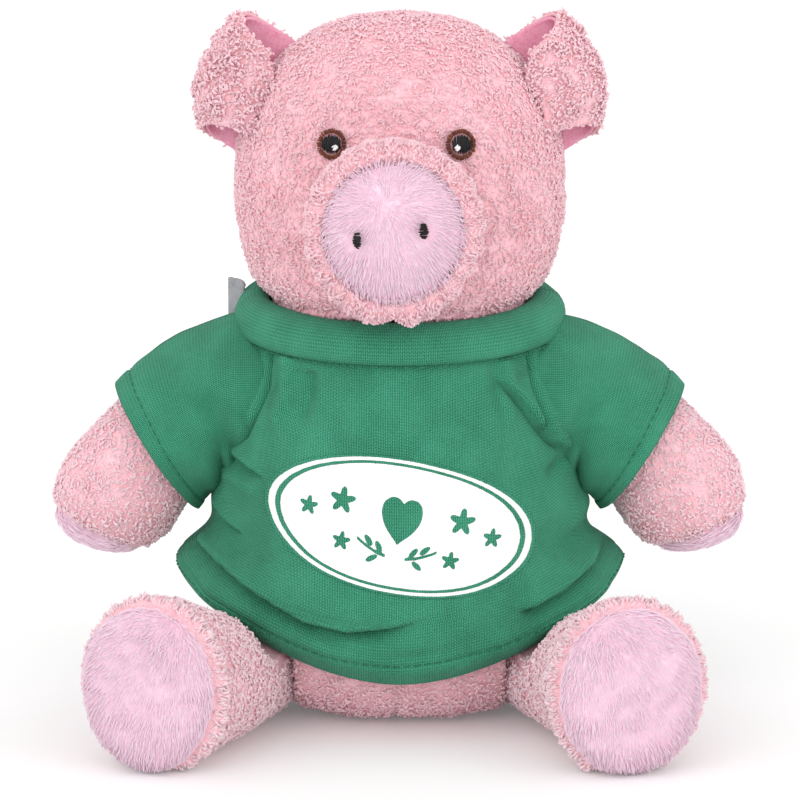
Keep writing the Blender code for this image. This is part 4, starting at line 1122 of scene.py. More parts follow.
def ear_inner(share, across):
    """The left ear's inner face: share runs down its base line, across from the base to the free edge."""
    base = ear_base(share)
    ends = ear_base(np.array([0.0, 1.0]))
    base = base - EAR_SUNK * unit(base * np.array([1, 0, 1]) - np.array([0, 0, HEAD_CENTRE_Z]))
    down = unit(ends[1] - ends[0])
    outward = np.array([-down[2], 0, down[0]])
    backward = np.array([0, 1, 0])
    reach = EAR_REACH_TOP + (EAR_REACH_BOTTOM - EAR_REACH_TOP) * share
    reach = (reach * (1 - 0.12 * (2 * share - 1) ** 4))[:, None]
    lift = -down * (0.0005 * (1 - share) ** 2)[:, None]
    corner = smooth_step((0.42 - share) / 0.40)[:, None]
    front = base - outward * FREE_EDGE_IN - backward * FREE_EDGE_AHEAD
    front = front + (np.stack([outward, backward, down], -1) @ TOP_CORNER) * corner
    front = front - down * LOWER_CORNER_RISE * smooth_step((share - 0.6) / 0.4)[:, None]
    back_handle = base + (outward * reach + backward * 0.002 + lift - down * 0.0012 * corner) * 4 / 3
    front_handle = front + (outward * (reach - 0.0050 * corner) + lift) * 4 / 3
    t = across[:, None]
    rest = 1 - t
    back_part = base * rest ** 3 + back_handle * 3 * rest ** 2 * t
    return back_part + front_handle * 3 * rest * t ** 2 + front * t ** 3


def ear_layer(share, across, layer):
    """Places of the left ear at a distance outside its inner face."""
    step = 0.015
    down = ear_inner(np.minimum(share + step, 1), across) - ear_inner(np.maximum(share - step, 0), across)
    way = ear_inner(share, np.minimum(across + step, 1)) - ear_inner(share, np.maximum(across - step, 0))
    return ear_inner(share, across) + unit(np.cross(way, down)) * layer


def ear_face(name, layer, rows, columns, lumps):
    """A single face of one of the ear's layers."""
    share, across = (places.ravel() for places in grid_places(0, rows, columns))
    points = ear_layer(share, across, layer)
    outward = (ear_layer(share, across, layer + MM) - points) / MM
    points = points + outward * (noise(points, 0.006, 31) * lumps)[:, None]
    return new_object(name, new_mesh(name, points, [grid_faces(rows, columns)]))


def build_ears():
    """Both ears, each a folded outer with terry and a lining."""
    outer_layer = EAR_CLOTH + SEAM_GAP
    for name, side in SIDES.items():
        outer = thicken(ear_face(f"ear_base_{name}", outer_layer + 0.0005, 44, 64, 0.0004), EAR_CLOTH)
        lining = thicken(ear_face(f"ear_lining_cloth_{name}", EAR_CLOTH / 2, 44, 64, 0.0002), EAR_CLOTH)
        face = ear_face("blank", outer_layer + 0.0009, 60, 90, 0.0004)
        apply_modifiers(outer)
        apply_modifiers(lining)
        if side < 0:
            for piece in (outer, lining, face):
                mirror(piece)
        finish_piece(outer, PINK_CLOTH, f"ear_{name}", (f"ear_outer_{name}",))
        finish_piece(lining, LINING, f"ear_{name}", (f"ear_lining_{name}",))
        points, normals, _ = mesh_arrays(face.data)
        if np.sum(normals * (points - points.mean(axis=0))) < 0:
            face.data.flip_normals()
            face.data.update()
        grow(f"ear_pile_{name}", face.data, everywhere, EAR_TERRY, 41 + side, PINK,
             f"ear_{name}", tone=0.15)
        bpy.data.objects.remove(face)


# Arms and legs

SLEEVE_REACH = 0.024
SLEEVE_ROOT = -0.42
SLEEVE_TILT = math.radians(33)
# The middle of the sleeve's hem, past which the arm has pile
SLEEVE_EDGE_X = 0.0655
SLEEVE_EDGE_Z = 0.0757


def paw_plane():
    """Point and direction of the plane between the left arm's pile and its paw pad."""
    middle, along = arm_axis(np.array([1.0]))
    x, z = spun(along[0, 0], along[0, 2], PAW_PAD_TURN)
    return middle[0] - along[0] * PAW_PAD_DEPTH, np.array([x, 0, z])


def limb_base(limb, pad, name, side, mesh, past_seam):
    """A limb's skin, with the pad's cloth past the pad's seam, on its body."""
    base = new_object(f"{limb}_base_{name}", mesh)
    if side < 0:
        mirror(base)
    centres = read_triples(mesh.polygons, "center") * np.array([side, 1, 1])
    mesh.materials.append(PINK_CLOTH)
    mesh.materials.append(LILAC_CLOTH)
    mesh.polygons.foreach_set("material_index", (past_seam(centres) > 0).astype(np.int32))
    return finish_piece(base, PINK_CLOTH, f"{limb}_{name}",
                        (f"{limb}_skin_{name}", f"{limb}_stuffing_{name}", f"{pad}_pad_{name}"))


def build_arms():
    """Both arms, each a padded skin with terry and a paw pad."""
    point, down = paw_plane()

    def past_seam(places):
        return (places - point) @ down

    def on_arm(places):
        past_hem, _ = spun(places[:, 0] - SLEEVE_EDGE_X, places[:, 2] - SLEEVE_EDGE_Z, SLEEVE_TILT)
        return (past_hem > -0.004) & (past_seam(places) < 0)

    def on_pad(places):
        return past_seam(places) > 0.0002

    for name, side in SIDES.items():
        points, quads = form_mesh(arm_form, 40, -PILE_DEPTH)
        points[:, 0] = np.maximum(points[:, 0], ARM_PLANE_X + SEAM_GAP / 2)
        mesh = remeshed(f"arm_base_{name}", [(points, quads)], LIMB_VOXEL, 2)
        points, normals, lumps = ruffle(mesh, 0.0008, 0.011, 51 + side)
        lumps -= 0.0009 * bump(past_seam(points), 0.0014)
        set_points(mesh, points + normals * lumps[:, None])
        base = limb_base("arm", "paw", name, side, mesh, past_seam)
        grow(f"arm_pile_{name}", mesh, on_arm, TERRY, 61 + side, PINK_WITH_PAINTED_LIGHT, f"arm_{name}",
             lay=(0.35, 0, -0.6), side=side)
        grow(f"paw_pile_{name}", mesh, on_pad, LONG, 65 + side, LILAC, f"arm_{name}",
             lay=(-0.8, -0.3, -0.3), side=side)


# Between these heights the body's girth at a place is its own, and past them the nearer one's
ROUND_BODY_Z = (0.02, 0.1)


def round_body(points, out):
    """Places beside and behind the body's axis, with a surface that far outside the body at 1."""
    half_width, half_depth, middle_y = body_row(np.clip(points[:, 2], *ROUND_BODY_Z))
    return points[:, 0] / (half_width + out), (points[:, 1] - middle_y) / (half_depth + out)


def body_angle(points):
    """Places' angle round the body's own middle."""
    beside, behind = round_body(points, 0.0)
    return np.arctan2(behind, beside)


def shirt_reach(points):
    """How far places are from the body's axis, with the shirt at 1."""
    return np.hypot(*round_body(points, SHIRT_OUT))


def under_shirt(points):
    """How far the hem presses the thigh down."""
    pressed = smooth_step((1.13 - shirt_reach(points)) / 0.11)
    return np.maximum(points[:, 2] - hem_height(body_angle(points)) + 0.0022, 0) * pressed


# How the feet in the picture differ from the frame's
FOOT_TURN = {"left": math.radians(11), "right": math.radians(1)}
FOOT_SHIFT = {"left": -0.0028, "right": 0.0034}
FOOT_WIDER = {"left": 0.09, "right": 0.05}
FOOT_TALLER = {"left": 0.10, "right": 0.08}
FOOT_FADE = 0.040
# The cuff of combed pile before the sole's seam
CUFF_MIDDLE = 0.0033
CUFF_HALF_WIDTH = 0.0035
CUFF_BACK = 0.0066


def with_foot(points, seam, name):
    """The left leg's points, with its foot turned, shifted and larger as the picture shows it."""
    foot = smooth_step((points - seam) @ LEG_ALONG / FOOT_FADE + 1)
    from_seam = points - seam
    x, y = spun(from_seam[:, 0], from_seam[:, 1], -FOOT_TURN[name] * foot)
    turned = np.stack([x, y, from_seam[:, 2] * (1 + FOOT_TALLER[name] * foot)], -1)
    wider = turned @ LEG_OUTWARD * FOOT_WIDER[name] * foot + FOOT_SHIFT[name] * foot
    return seam + turned + LEG_OUTWARD * wider[:, None]


def leg_lumps(points, seam, along, outward):
    """How far the leg's skin stands out or in: the sole's seam and the pleated cuff before it."""
    beyond = (points - seam) @ along
    round_foot = np.arctan2(points[:, 2] - FOOT_HALF_HEIGHT, (points - seam) @ outward)
    pleats = np.cos(34 * round_foot + 3 * noise(points, 0.008, 77))
    cuff = bump(beyond + 0.0034, 0.0024) * (0.0010 + 0.0006 * pleats)
    return cuff - 0.0014 * bump(beyond, 0.0011) - 0.0008 * bump(beyond + 0.0072, 0.0012)


def grow_leg(name, side, mesh, seam, along):
    """The leg's terry, cuff and sole pile."""
    def past_seam(places):
        return (places - seam) @ along

    def on_leg(places):
        x, _, z = places.T
        keep = (past_seam(places) < -CUFF_BACK) & (x > HIP_PLANE_X + 0.0004)
        keep &= ~((shirt_reach(places) < 0.99) & (z > hem_height(body_angle(places)) - 0.0045))
        return keep * (z > 0.0009) * np.where(z < 0.004, 0.4, 1.0)

    def on_cuff(places):
        return np.abs(past_seam(places) + CUFF_MIDDLE) < CUFF_HALF_WIDTH

    def on_sole(places):
        return past_seam(places) > 0.0003

    def down_sole(places):
        away = (places - seam) * np.array([1, 0, 1]) / 0.02
        return away * 0.5 + np.array([0.25, 0, -0.8])

    to_foot = along * 0.5 + np.array([0, 0, -0.3])
    grow(f"leg_pile_{name}", mesh, on_leg, TERRY, 81 + side, PINK_WITH_PAINTED_LIGHT, f"leg_{name}",
         lay=to_foot, side=side)
    grow(f"cuff_pile_{name}", mesh, on_cuff, COMBED, 83 + side, PINK_WITH_PAINTED_LIGHT, f"leg_{name}",
         lay=-along, tone=0.2, side=side)
    grow(f"sole_pile_{name}", mesh, on_sole, LONG, 85 + side, LILAC, f"leg_{name}",
         lay=down_sole, side=side)


def build_legs():
    """Both legs, each a padded skin with terry, a cuff and a sole."""
    for name, side in SIDES.items():
        points, quads = form_mesh(leg_form, 44, -PILE_DEPTH)
        points[:, 0] = np.maximum(points[:, 0], HIP_PLANE_X + SEAM_GAP / 2)
        points[:, 2] = np.maximum(points[:, 2], FLOOR_REST)
        mesh = remeshed(f"leg_base_{name}", [(points, quads)], LIMB_VOXEL, 2)
        seam = np.array([LEG_X, HIP_Y, HIP_Z]) + LEG_ALONG * (LEG_REACH - SOLE_EDGE)
        set_points(mesh, with_foot(mesh_arrays(mesh)[0], seam, name))
        seam = seam + LEG_OUTWARD * FOOT_SHIFT[name]
        splay = LEG_SPLAY - FOOT_TURN[name]
        along = np.array([math.sin(splay), -math.cos(splay), 0])
        outward = np.array([math.cos(splay), math.sin(splay), 0])
        points, normals, lumps = ruffle(mesh, 0.0009, 0.013, 71 + side)
        lumps = np.where(points[:, 2] < FLAT_SEAT_Z, 0, lumps + leg_lumps(points, seam, along, outward))
        moved = points + normals * lumps[:, None]
        moved[:, 2] -= under_shirt(moved)
        moved[:, 2] = np.maximum(moved[:, 2], 0.0002)
        set_points(mesh, moved)
        base = limb_base("leg", "sole", name, side, mesh, lambda places: (places - seam) @ along)
        grow_leg(name, side, mesh, seam, along)


SHOULDER_POCKET = 0.0238


def in_hip_pocket(points, size):
    """Whether places are level with the root of a leg, or before it."""
    _, y, z = points.T
    return (np.hypot(y - HIP_Y, z - HIP_Z) < size) | ((y < HIP_Y) & (np.abs(z - HIP_Z) < size))


def build_torso():
    """The body, a padded skin with terry where the shirt leaves it bare."""
    points, quads = form_mesh(body_form, 64, -PILE_DEPTH)
    points[:, 2] = np.clip(points[:, 2], FLOOR_REST, NECK_PLANE_Z - SEAM_GAP)
    wide = np.abs(points[:, 0])
    limit = np.where(in_hip_pocket(points, HIP_POCKET), HIP_PLANE_X - SEAM_GAP, 1.0)
    from_shoulder = np.hypot(points[:, 1] - SHOULDER_Y, points[:, 2] - SHOULDER_Z)
    in_shoulder = from_shoulder < SHOULDER_POCKET + 0.6 * np.maximum(wide - ARM_PLANE_X, 0)
    limit = np.where(in_shoulder, ARM_PLANE_X - SEAM_GAP, limit)
    points[:, 0] = np.sign(points[:, 0]) * np.minimum(wide, limit)
    mesh = remeshed("torso_base", [(points, quads)], TORSO_VOXEL, 2)
    points, normals, lumps = ruffle(mesh, 0.0008, 0.014, 91)
    x, y, z = points.T
    hem = hem_height(np.arctan2(y - BODY_CENTRE_Y, x))
    lumps = np.where(z < FLAT_SEAT_Z, 0, lumps) - 0.0034 * smooth_step((z - hem - 0.002) / 0.005)
    lumps -= 0.0010 * bump(x + 0.001, 0.0016) * (y < 0) * (z < 0.016)
    set_points(mesh, points + normals * lumps[:, None])
    base = new_object("torso_base", mesh)
    finish_piece(base, PINK_CLOTH, "torso",
                 ("torso_front_skin", "torso_back_skin", "torso_stuffing"))

    def below_hem(places):
        x, y, z = places.T
        keep = (z < hem_height(np.arctan2(y - BODY_CENTRE_Y, x)) + 0.0015) & (z > 0.0008)
        in_pocket = (np.abs(x) > HIP_PLANE_X - 0.0006) & in_hip_pocket(places, HIP_POCKET - 0.001)
        return keep * ~in_pocket * np.where(z < 0.004, 0.3, 1.0)

    grow("torso_pile", mesh, below_hem, TERRY, 92, PINK, "torso")


# Shirt

# The stitches of a hem and of the neck band: pitch, length and radius of the thread
HEM_STITCH = (0.0029, 0.0022, 0.00022)
BAND_STITCH = (0.0022, 0.0021, 0.00028)
HEM_WIDTH = 0.0062
HEM_POWERS = (1.8, 3.2)
# Where the shirt bulges over the hem at the sides, and where its waist is drawn in
ROLL_OVER_HEM = 0.0048
WAIST_Z = 0.0540


def hem_height(angle):
    """Height of the shirt's hem round the body: low before and behind, high over the legs."""
    sideways = np.abs(np.cos(angle))
    front = np.sin(angle) < 0
    low = np.where(front, HEM_FRONT_Z, HEM_BACK_Z)
    return low + (HEM_SIDE_Z - low) * sideways ** np.where(front, *HEM_POWERS)


def shirt_top(angle):
    """Height at which the shirt ends inside the neck band."""
    return band_middle(angle)[:, 2] - BAND_HEIGHT / 2 + BAND_OVERLAP


def hem_relief(over, width):
    """A hem's thickness and the dent of its stitches, at distances from the edge."""
    return 0.00035 * smooth_step((width - over) / 0.0008) - 0.0004 * bump(over - width, 0.0006)


def shirt_share(angle, z):
    """How far up the shirt heights are, from hem to top."""
    bottom = hem_height(angle)
    return (z - bottom) / (shirt_top(angle) - bottom)


# Folds as the photograph shows them from the front: places x and z in millimetres, width, depth
FRONT_FOLDS = (
    (((-58, 44), (-46, 39), (-34, 33), (-20, 28.5), (-4, 27.5), (12, 29)), 3.6, 2.4),
    (((59, 44), (48, 37), (34, 30), (16, 27.0)), 3.6, 2.0),
    (((57, 66), (50, 59), (42, 54)), 2.6, 1.5),
    (((-57, 73), (-46, 70), (-38, 67)), 2.4, 1.4),
    (((57, 78), (47, 76), (40, 71)), 2.0, -1.8),
    (((-31, 108), (-31.5, 97), (-36, 84)), 2.4, 2.4),
    (((-25, 104), (-25, 95), (-29, 86)), 2.0, -1.7),
    (((29, 107), (29, 97), (32, 86)), 2.2, 1.3),
    (((-26, 33), (-12, 27.6), (2, 26.6), (18, 29)), 1.5, -0.9),
    (((-22, 86), (-4, 81), (16, 84)), 3.4, -0.7),
    (((-35.5, 115), (-37.6, 97), (-43.6, 83), (-50, 74.5)), 0.9, -2.8),
    (((35.5, 113), (37.2, 97), (41.5, 85), (47, 77)), 0.9, -2.8),
)
# Where the cloth hangs over itself: places, height of the lip, depth under it and reach
STEPPED_FOLDS = (
    (((-62, 53), (-53, 49.5), (-42, 44), (-26, 36.0), (-14.8, 33.9), (-2.8, 34.8), (9, 37.5)), 4.1, 5.0, 4.5),
    (((33, 37.5), (44, 42), (53, 47), (61, 52)), 3.5, 4.2, 4.2),
    (((-58, 80), (-47, 77.5), (-37, 72)), 2.8, 3.6, 3.0),
    (((26, 102), (35, 92.4), (43, 82), (50, 76)), 2.7, 3.4, 3.2),
    (((-56, 64), (-49, 58), (-43, 55)), 1.6, 2.0, 3.0),
)


def to_line(x, z, line):
    """How far places are from a line of places, on which side of it, and a fade at its ends."""
    line = np.array(line, float)
    best, beside, fade = np.full_like(x, 1e9), np.zeros_like(x), np.zeros_like(x)
    for number in range(len(line) - 1):
        start, way = line[number], line[number + 1] - line[number]
        from_x, from_z = x - start[0], z - start[1]
        step = np.clip((from_x * way[0] + from_z * way[1]) / (way @ way), 0, 1)
        gap = np.hypot(from_x - step * way[0], from_z - step * way[1])
        nearer = gap < best
        along = (number + step) / (len(line) - 1)
        fade = np.where(nearer, smooth_step(along / 0.12) * smooth_step((1 - along) / 0.3), fade)
        beside = np.where(nearer, way[0] * from_z - way[1] * from_x, beside)
        best = np.minimum(gap, best)
    return best, np.sign(beside), fade


def fold_offset(x, z):
    """How far folds lift or sink the front of the shirt at places seen from the front."""
    total = np.zeros_like(x)
    for line, width, depth in FRONT_FOLDS:
        gap, _, fade = to_line(x, z, line)
        total += depth * fade * bump(gap, width)
    for line, lip, depth, reach in STEPPED_FOLDS:
        gap, above, fade = to_line(x, z, line)
        edge = np.tanh(gap * above / 0.45)
        height = np.where(above > 0, lip * np.exp(-gap / reach), depth * np.exp(-gap / (0.8 * reach)))
        total += fade * edge * height
    return total


def shirt_point(angle, share, out):
    """The shirt body's middle surface, from the hem up to the neck band."""
    band = band_middle(angle)
    bottom = hem_height(angle)
    z = bottom + (shirt_top(angle) - bottom) * share
    half_width, half_depth, middle_y = body_row(z)
    over_hem = z - bottom
    ease = 0.0007 + JERSEY / 2 + 0.0014 * smooth_step(over_hem / 0.006)
    ease = ease + 0.0013 * bump(over_hem - 0.011, 0.009)
    ease = ease + 0.0007 * np.sin(math.pi * share) ** 2 * np.cos(7 * angle + 2 * math.pi * share)
    sideways = smooth_step((np.abs(np.cos(angle)) - 0.55) / 0.35)
    roll = 0.0024 * bump(over_hem - ROLL_OVER_HEM, 0.0046) - 0.0036 * bump(z - WAIST_Z, 0.0055)
    ease = ease + roll * sideways - 0.0018 * (1 - smooth_step(over_hem / 0.0035))
    ease = ease - 0.0016 * smooth_step((share - 0.93) / 0.03)
    near = np.stack([(half_width + ease) * np.cos(angle), middle_y + (half_depth + ease) * np.sin(angle)], -1)
    yoke = smooth_step((share - 0.72) / 0.28)[:, None]
    mixed_place = near * (1 - yoke) + band[:, :2] * yoke
    outward = np.stack([np.cos(angle), np.sin(angle)], -1)
    mixed_place = mixed_place + outward * np.asarray(out)[..., None]
    return np.concatenate([mixed_place, z[:, None]], -1)


def shirt_folds(points, angle, share):
    """Folds, hem and lumps of the shirt, in metres out."""
    x, z = points[:, 0] / MM, points[:, 2] / MM
    front = smooth_step(-np.sin(angle) / 0.25)
    folds = fold_offset(x, z) * front * MM
    hem = hem_relief(points[:, 2] - hem_height(angle), HEM_WIDTH)
    soft = noise(points, 0.016, 101) * 0.0007 + noise(points, 0.006, 102) * 0.00022
    back = (1 - front) * 0.0019 * noise(points * np.array([1, 1, 0.4]), 0.012, 103)
    return folds + hem + (soft + back) * smooth_step(share / 0.1) * smooth_step((1 - share) / 0.1)


def panel_mesh(name, start, rows, columns):
    """One panel of the shirt, with the weave laid out in metres."""
    share, turn = grid_places(0, rows, columns)
    share, angle = share.ravel(), (start + 0.002 + (math.pi - 0.004) * turn).ravel()
    points = shirt_point(angle, share, 0.0)
    points = shirt_point(angle, share, shirt_folds(points, angle, share))
    grid = points.reshape(rows, columns, 3)
    across = lengths_along(grid, axis=1)
    across -= across[:, columns // 2][:, None]
    weave = np.stack([across.ravel(), lengths_along(grid).ravel()], -1)
    return woven_mesh(name, points, grid_faces(rows, columns), weave), grid


def running_stitch(name, path, normals, body, stitch=HEM_STITCH):
    """Short stitches along a line."""
    pitch, length, radius = stitch
    sums = lengths_along(path)
    starts = np.arange(pitch / 2, sums[-1] - pitch, pitch)
    way = np.linspace(0, 1, 7)
    places = starts[:, None] + way * length
    paths = np.stack([np.interp(places, sums, path[:, axis]) for axis in range(3)], -1)
    up = unit(np.stack([np.interp(starts, sums, normals[:, axis]) for axis in range(3)], -1))
    paths = paths + up[:, None] * (radius * 1.2 * np.sin(math.pi * way) - radius * 0.2)[None, :, None]
    mesh = thread_mesh(name, paths, up, way, radius, 0.15)
    return finish_piece(new_object(name, mesh), THREAD_GREEN, body)


def outward_of(grid, row):
    """Normals of a grid of points along one of its rows."""
    across = np.gradient(grid, axis=1)[row]
    up = np.gradient(grid, axis=0)[row]
    return unit(np.cross(across, up))


def build_shirt():
    """The front and back panels, each with the running stitch of its hem."""
    for name, start, rows, columns in (("front", math.pi, 150, 230), ("back", 0.0, 90, 160)):
        mesh, grid = panel_mesh(f"shirt_{name}_panel", start, rows, columns)
        item = thicken(new_object(f"shirt_{name}_panel", mesh), JERSEY)
        finish_piece(item, JERSEY_GREEN, "torso", (f"shirt_{name}",))
        middle_z = grid[:, columns // 2, 2]
        row = int(np.argmin(np.abs(middle_z - middle_z[0] - HEM_WIDTH)))
        normals = outward_of(grid, row)
        edge = grid[row] + normals * JERSEY / 2
        thread = running_stitch(f"hem_stitches_{name}", edge, normals, "torso")


# The stitched line under the neck band: how far out from the band's middle and how far down
BAND_SEAM_OUT = 0.0020
BAND_SEAM_DROP = 0.0068
# The roll's section: out from its middle line and up
BAND_SECTION = (
    (0.0004, -0.0062), (0.0028, -0.0061), (0.0035, -0.0036), (0.0031, -0.0004), (0.0018, 0.0024),
    (-0.0004, 0.0044), (-0.0026, 0.0050), (-0.0042, 0.0042), (-0.0046, 0.0022), (-0.0034, -0.0010),
    (-0.0024, -0.0040), (-0.0012, -0.0062),
)
BAND_SECTION_LENGTH = 0.030
BAND_INNER_FULLER = 0.50


def build_band():
    """The doubled neck band, a puffed roll."""
    rows, columns = 26, 240
    angle = np.linspace(0, 2 * math.pi, columns, endpoint=False)
    middle = band_middle(angle)
    outward = np.stack([np.cos(angle) / BAND_HALF_WIDTH, np.sin(angle) / BAND_HALF_DEPTH, 0 * angle], -1)
    outward = unit(outward)
    section = np.array(BAND_SECTION + BAND_SECTION[:1])
    turn = np.linspace(0, 1, len(section))
    fine = np.linspace(0, 1, rows, endpoint=False)
    across = np.interp(fine, turn, section[:, 0])[:, None]
    climb = np.interp(fine, turn, section[:, 1])[:, None]
    sideways = smooth_step((np.abs(np.cos(angle)) - 0.45) / 0.4)
    fuller = 1 + BAND_INNER_FULLER * (across < 0) * sideways
    points = middle + outward * (across * fuller)[..., None]
    points[..., 2] += climb
    lumps = noise(points.reshape(-1, 3), 0.010, 111).reshape(rows, columns) * 0.0006
    points = (points + outward * lumps[..., None]).reshape(-1, 3)
    along, round_roll = np.meshgrid(lengths_along(middle), fine * BAND_SECTION_LENGTH)
    weave = np.stack([along.ravel(), round_roll.ravel()], -1)
    mesh = woven_mesh("neck_band_roll", points, grid_faces(rows, columns, wrap=True, closed=True), weave)
    seam = middle + outward * BAND_SEAM_OUT - np.array([0, 0, BAND_SEAM_DROP])
    running_stitch("neck_band_seam", np.concatenate([seam, seam[:2]]), np.concatenate([outward, outward[:2]]),
                   "torso", BAND_STITCH)
    item = new_object("neck_band_roll", mesh)
    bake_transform(item)
    finish_piece(item, JERSEY_GREEN, None, ("neck_band",))


SLEEVE_RADIUS = 0.0232
CUFF_RADIUS = 0.0217
SLEEVE_DROP = 0.0148
SLEEVE_HEM = 0.0040
# The sleeve's way round and its length from the shoulder, as its weave is laid out
SLEEVE_GIRTH = 0.140
SLEEVE_LENGTH = 0.034
SLEEVE_LENGTH_TO_HEM = 0.032


def sleeve_point(u, v, out):
    """The left sleeve, round it by u and from the shoulder to the hem by v."""
    angle = 2 * math.pi * u
    past = np.maximum(v, 0)
    tilt = SLEEVE_TILT * np.clip(v, 0, 1)
    x = ARM_PLANE_X + SLEEVE_REACH * v
    middle = np.stack([x, np.full_like(x, SHOULDER_Y), SHOULDER_Z - SLEEVE_DROP * past ** 1.6], -1)
    upward = np.stack([np.sin(tilt), 0 * tilt, np.cos(tilt)], -1)
    radius = SLEEVE_RADIUS - JERSEY / 2 + (CUFF_RADIUS - SLEEVE_RADIUS) * past + 0.0008 * bump(v + 0.05, 0.25)
    radius = radius + 0.0006 * np.sin(math.pi * past) * np.cos(3 * angle) + out
    side = np.stack([0 * u, radius * np.sin(angle), 0 * u], -1)
    return middle + upward * (radius * np.cos(angle))[:, None] + side


def sleeve_folds(flat, u, v, side):
    """Folds, hem and lumps of a sleeve, in metres out."""
    round_arm = np.cos(2 * math.pi * u)
    under = smooth_step((-round_arm - 0.1) / 0.6)
    folds = noise(flat, 0.011, 121 + side) * 0.0008 + noise(flat, 0.005, 123) * 0.0002
    folds = folds - 0.0026 * under * bump(v - 0.32, 0.09) + 0.0014 * under * bump(v - 0.55, 0.12)
    # A sunk line and a ridge that run slanting round the sleeve: place round it, place along, width and depth
    for turn, along, width, depth in ((0.25, 0.25, 0.14, -0.0020), (0.32, 0.45, 0.13, 0.0014)):
        slant = np.cos(2 * math.pi * (u + turn)) * bump(v - along - 0.3 * round_arm, width)
        folds = folds + depth * np.maximum(slant, 0)
    return folds + hem_relief((1 - v) * SLEEVE_LENGTH_TO_HEM, SLEEVE_HEM)


def build_sleeves():
    """Both sleeves, which follow the body at the shoulder and the arm further out."""
    rows, columns = 48, 150
    steps = np.linspace(SLEEVE_ROOT, 1, rows)
    row = int(np.argmin(np.abs((1 - steps) * SLEEVE_LENGTH_TO_HEM - SLEEVE_HEM)))
    for name, side in SIDES.items():
        v, u = np.meshgrid(steps, np.linspace(0, 1, columns, endpoint=False), indexing="ij")
        u, v = u.ravel(), v.ravel()
        points = sleeve_point(u, v, sleeve_folds(sleeve_point(u, v, 0.0), u, v, side))
        points[:, 0] *= side
        grid = points.reshape(rows, columns, 3)
        faces = grid_faces(rows, columns, wrap=True)
        if side < 0:
            faces = faces[:, ::-1]
        weave = np.stack([u * SLEEVE_GIRTH, v * SLEEVE_LENGTH], -1)
        mesh = woven_mesh(f"sleeve_cloth_{name}", points, faces, weave)
        item = thicken(new_object(f"sleeve_cloth_{name}", mesh), JERSEY)
        apply_modifiers(item)
        loop = np.concatenate([grid[row], grid[row][:1]])
        normals = unit(loop - grid[row].mean(axis=0))
        thread = running_stitch(f"sleeve_stitches_{name}", loop + normals * JERSEY / 2, normals, None)
        for piece in (item, thread):
            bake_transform(piece)
        finish_piece(item, JERSEY_GREEN, None, (f"sleeve_{name}",))


PRINT_HALF_WIDTH = 0.038
PRINT_HALF_HEIGHT = 0.0185

PRINT_MIDDLE_Z = 0.062
PRINT_TILT = math.radians(-10)
PRINT_THICKNESS = 0.0003
# Flowers of the badge: place, and size of the petals
FLOWERS = ((0.0165, 0.0040, 0.0036), (0.0255, 0.0005, 0.0026), (0.0150, -0.0066, 0.0025))
# Its leaves: place and direction
LEAVES = ((0.0048, -0.0062, 1.0), (0.0078, -0.0050, 0.8), (0.0062, -0.0095, -0.6))
LEAF_HALF_LENGTH = 0.0016
LEAF_HALF_WIDTH = 0.0007
HEART_SIZE = 0.0070


def motif(x, z):
    """The printed badge: how far inside the ink each place is, in metres, below zero where it is bare."""
    badge = PRINT_HALF_HEIGHT * (1 - np.hypot(x / PRINT_HALF_WIDTH, z / PRINT_HALF_HEIGHT))
    border = np.abs(badge - 0.0019) - 0.00032
    heart_x, heart_z = np.abs(x) / HEART_SIZE, (z - 0.0002) / HEART_SIZE
    heart = heart_x ** 2 + (heart_z - 0.62 * np.sqrt(np.maximum(heart_x, 1e-6))) ** 2 - 0.62
    bare = [badge - 0.0006, border, heart * HEART_SIZE / 2]
    stem = np.abs(z + 0.0085 - 30 * x ** 2) - 0.00035
    for side in (-1, 1):
        bare.append(np.where(side * x > 0.0025, np.maximum(stem, np.abs(x) - 0.0110), 1))
        for centre_x, centre_z, size in FLOWERS:
            away_x, away_z = x - side * centre_x, z - centre_z
            petals = 0.72 + 0.28 * np.cos(5 * (np.arctan2(away_z, away_x) - math.pi / 2))
            bare.append(np.hypot(away_x, away_z) - size * petals)
        for leaf_x, leaf_z, way in LEAVES:
            along, beside = spun(side * x - leaf_x, z - leaf_z, -way)
            leaf = np.hypot(along / LEAF_HALF_LENGTH, beside / LEAF_HALF_WIDTH) - 1
            bare.append(leaf * LEAF_HALF_WIDTH)
    return np.min(bare, axis=0)


def build_print():
    """The printed patch on the belly, on the shirt's own surface."""
    rows, columns = 88, 190
    v, u = grid_places(-1, rows, columns)
    across = (PRINT_HALF_WIDTH * u * np.sqrt(1 - v ** 2 / 2)).ravel()
    upward = (PRINT_HALF_HEIGHT * v * np.sqrt(1 - u ** 2 / 2)).ravel()
    x, z = spun(across, upward, PRINT_TILT)
    z = z + PRINT_MIDDLE_Z
    low, high = np.full_like(x, math.pi), np.full_like(x, 2 * math.pi)
    for _ in range(26):
        angle = (low + high) / 2
        less = shirt_point(angle, shirt_share(angle, z), 0.0)[:, 0] < x
        low, high = np.where(less, angle, low), np.where(less, high, angle)
    share = shirt_share(angle, z)
    points = shirt_point(angle, share, 0.0)
    points = shirt_point(angle, share, shirt_folds(points, angle, share) + JERSEY / 2 + 0.0002)
    mesh = woven_mesh("shirt_print_layer", points, grid_faces(rows, columns), points[:, [0, 2]])
    ink = mesh.attributes.new("ink", "FLOAT", "POINT")
    ink.data.foreach_set("value", motif(across, upward).astype(np.float32))
    item = thicken(new_object("shirt_print_layer", mesh), PRINT_THICKNESS)
    apply_modifiers(item)
    finish_piece(item, PRINTED, "torso", ("shirt_print",))


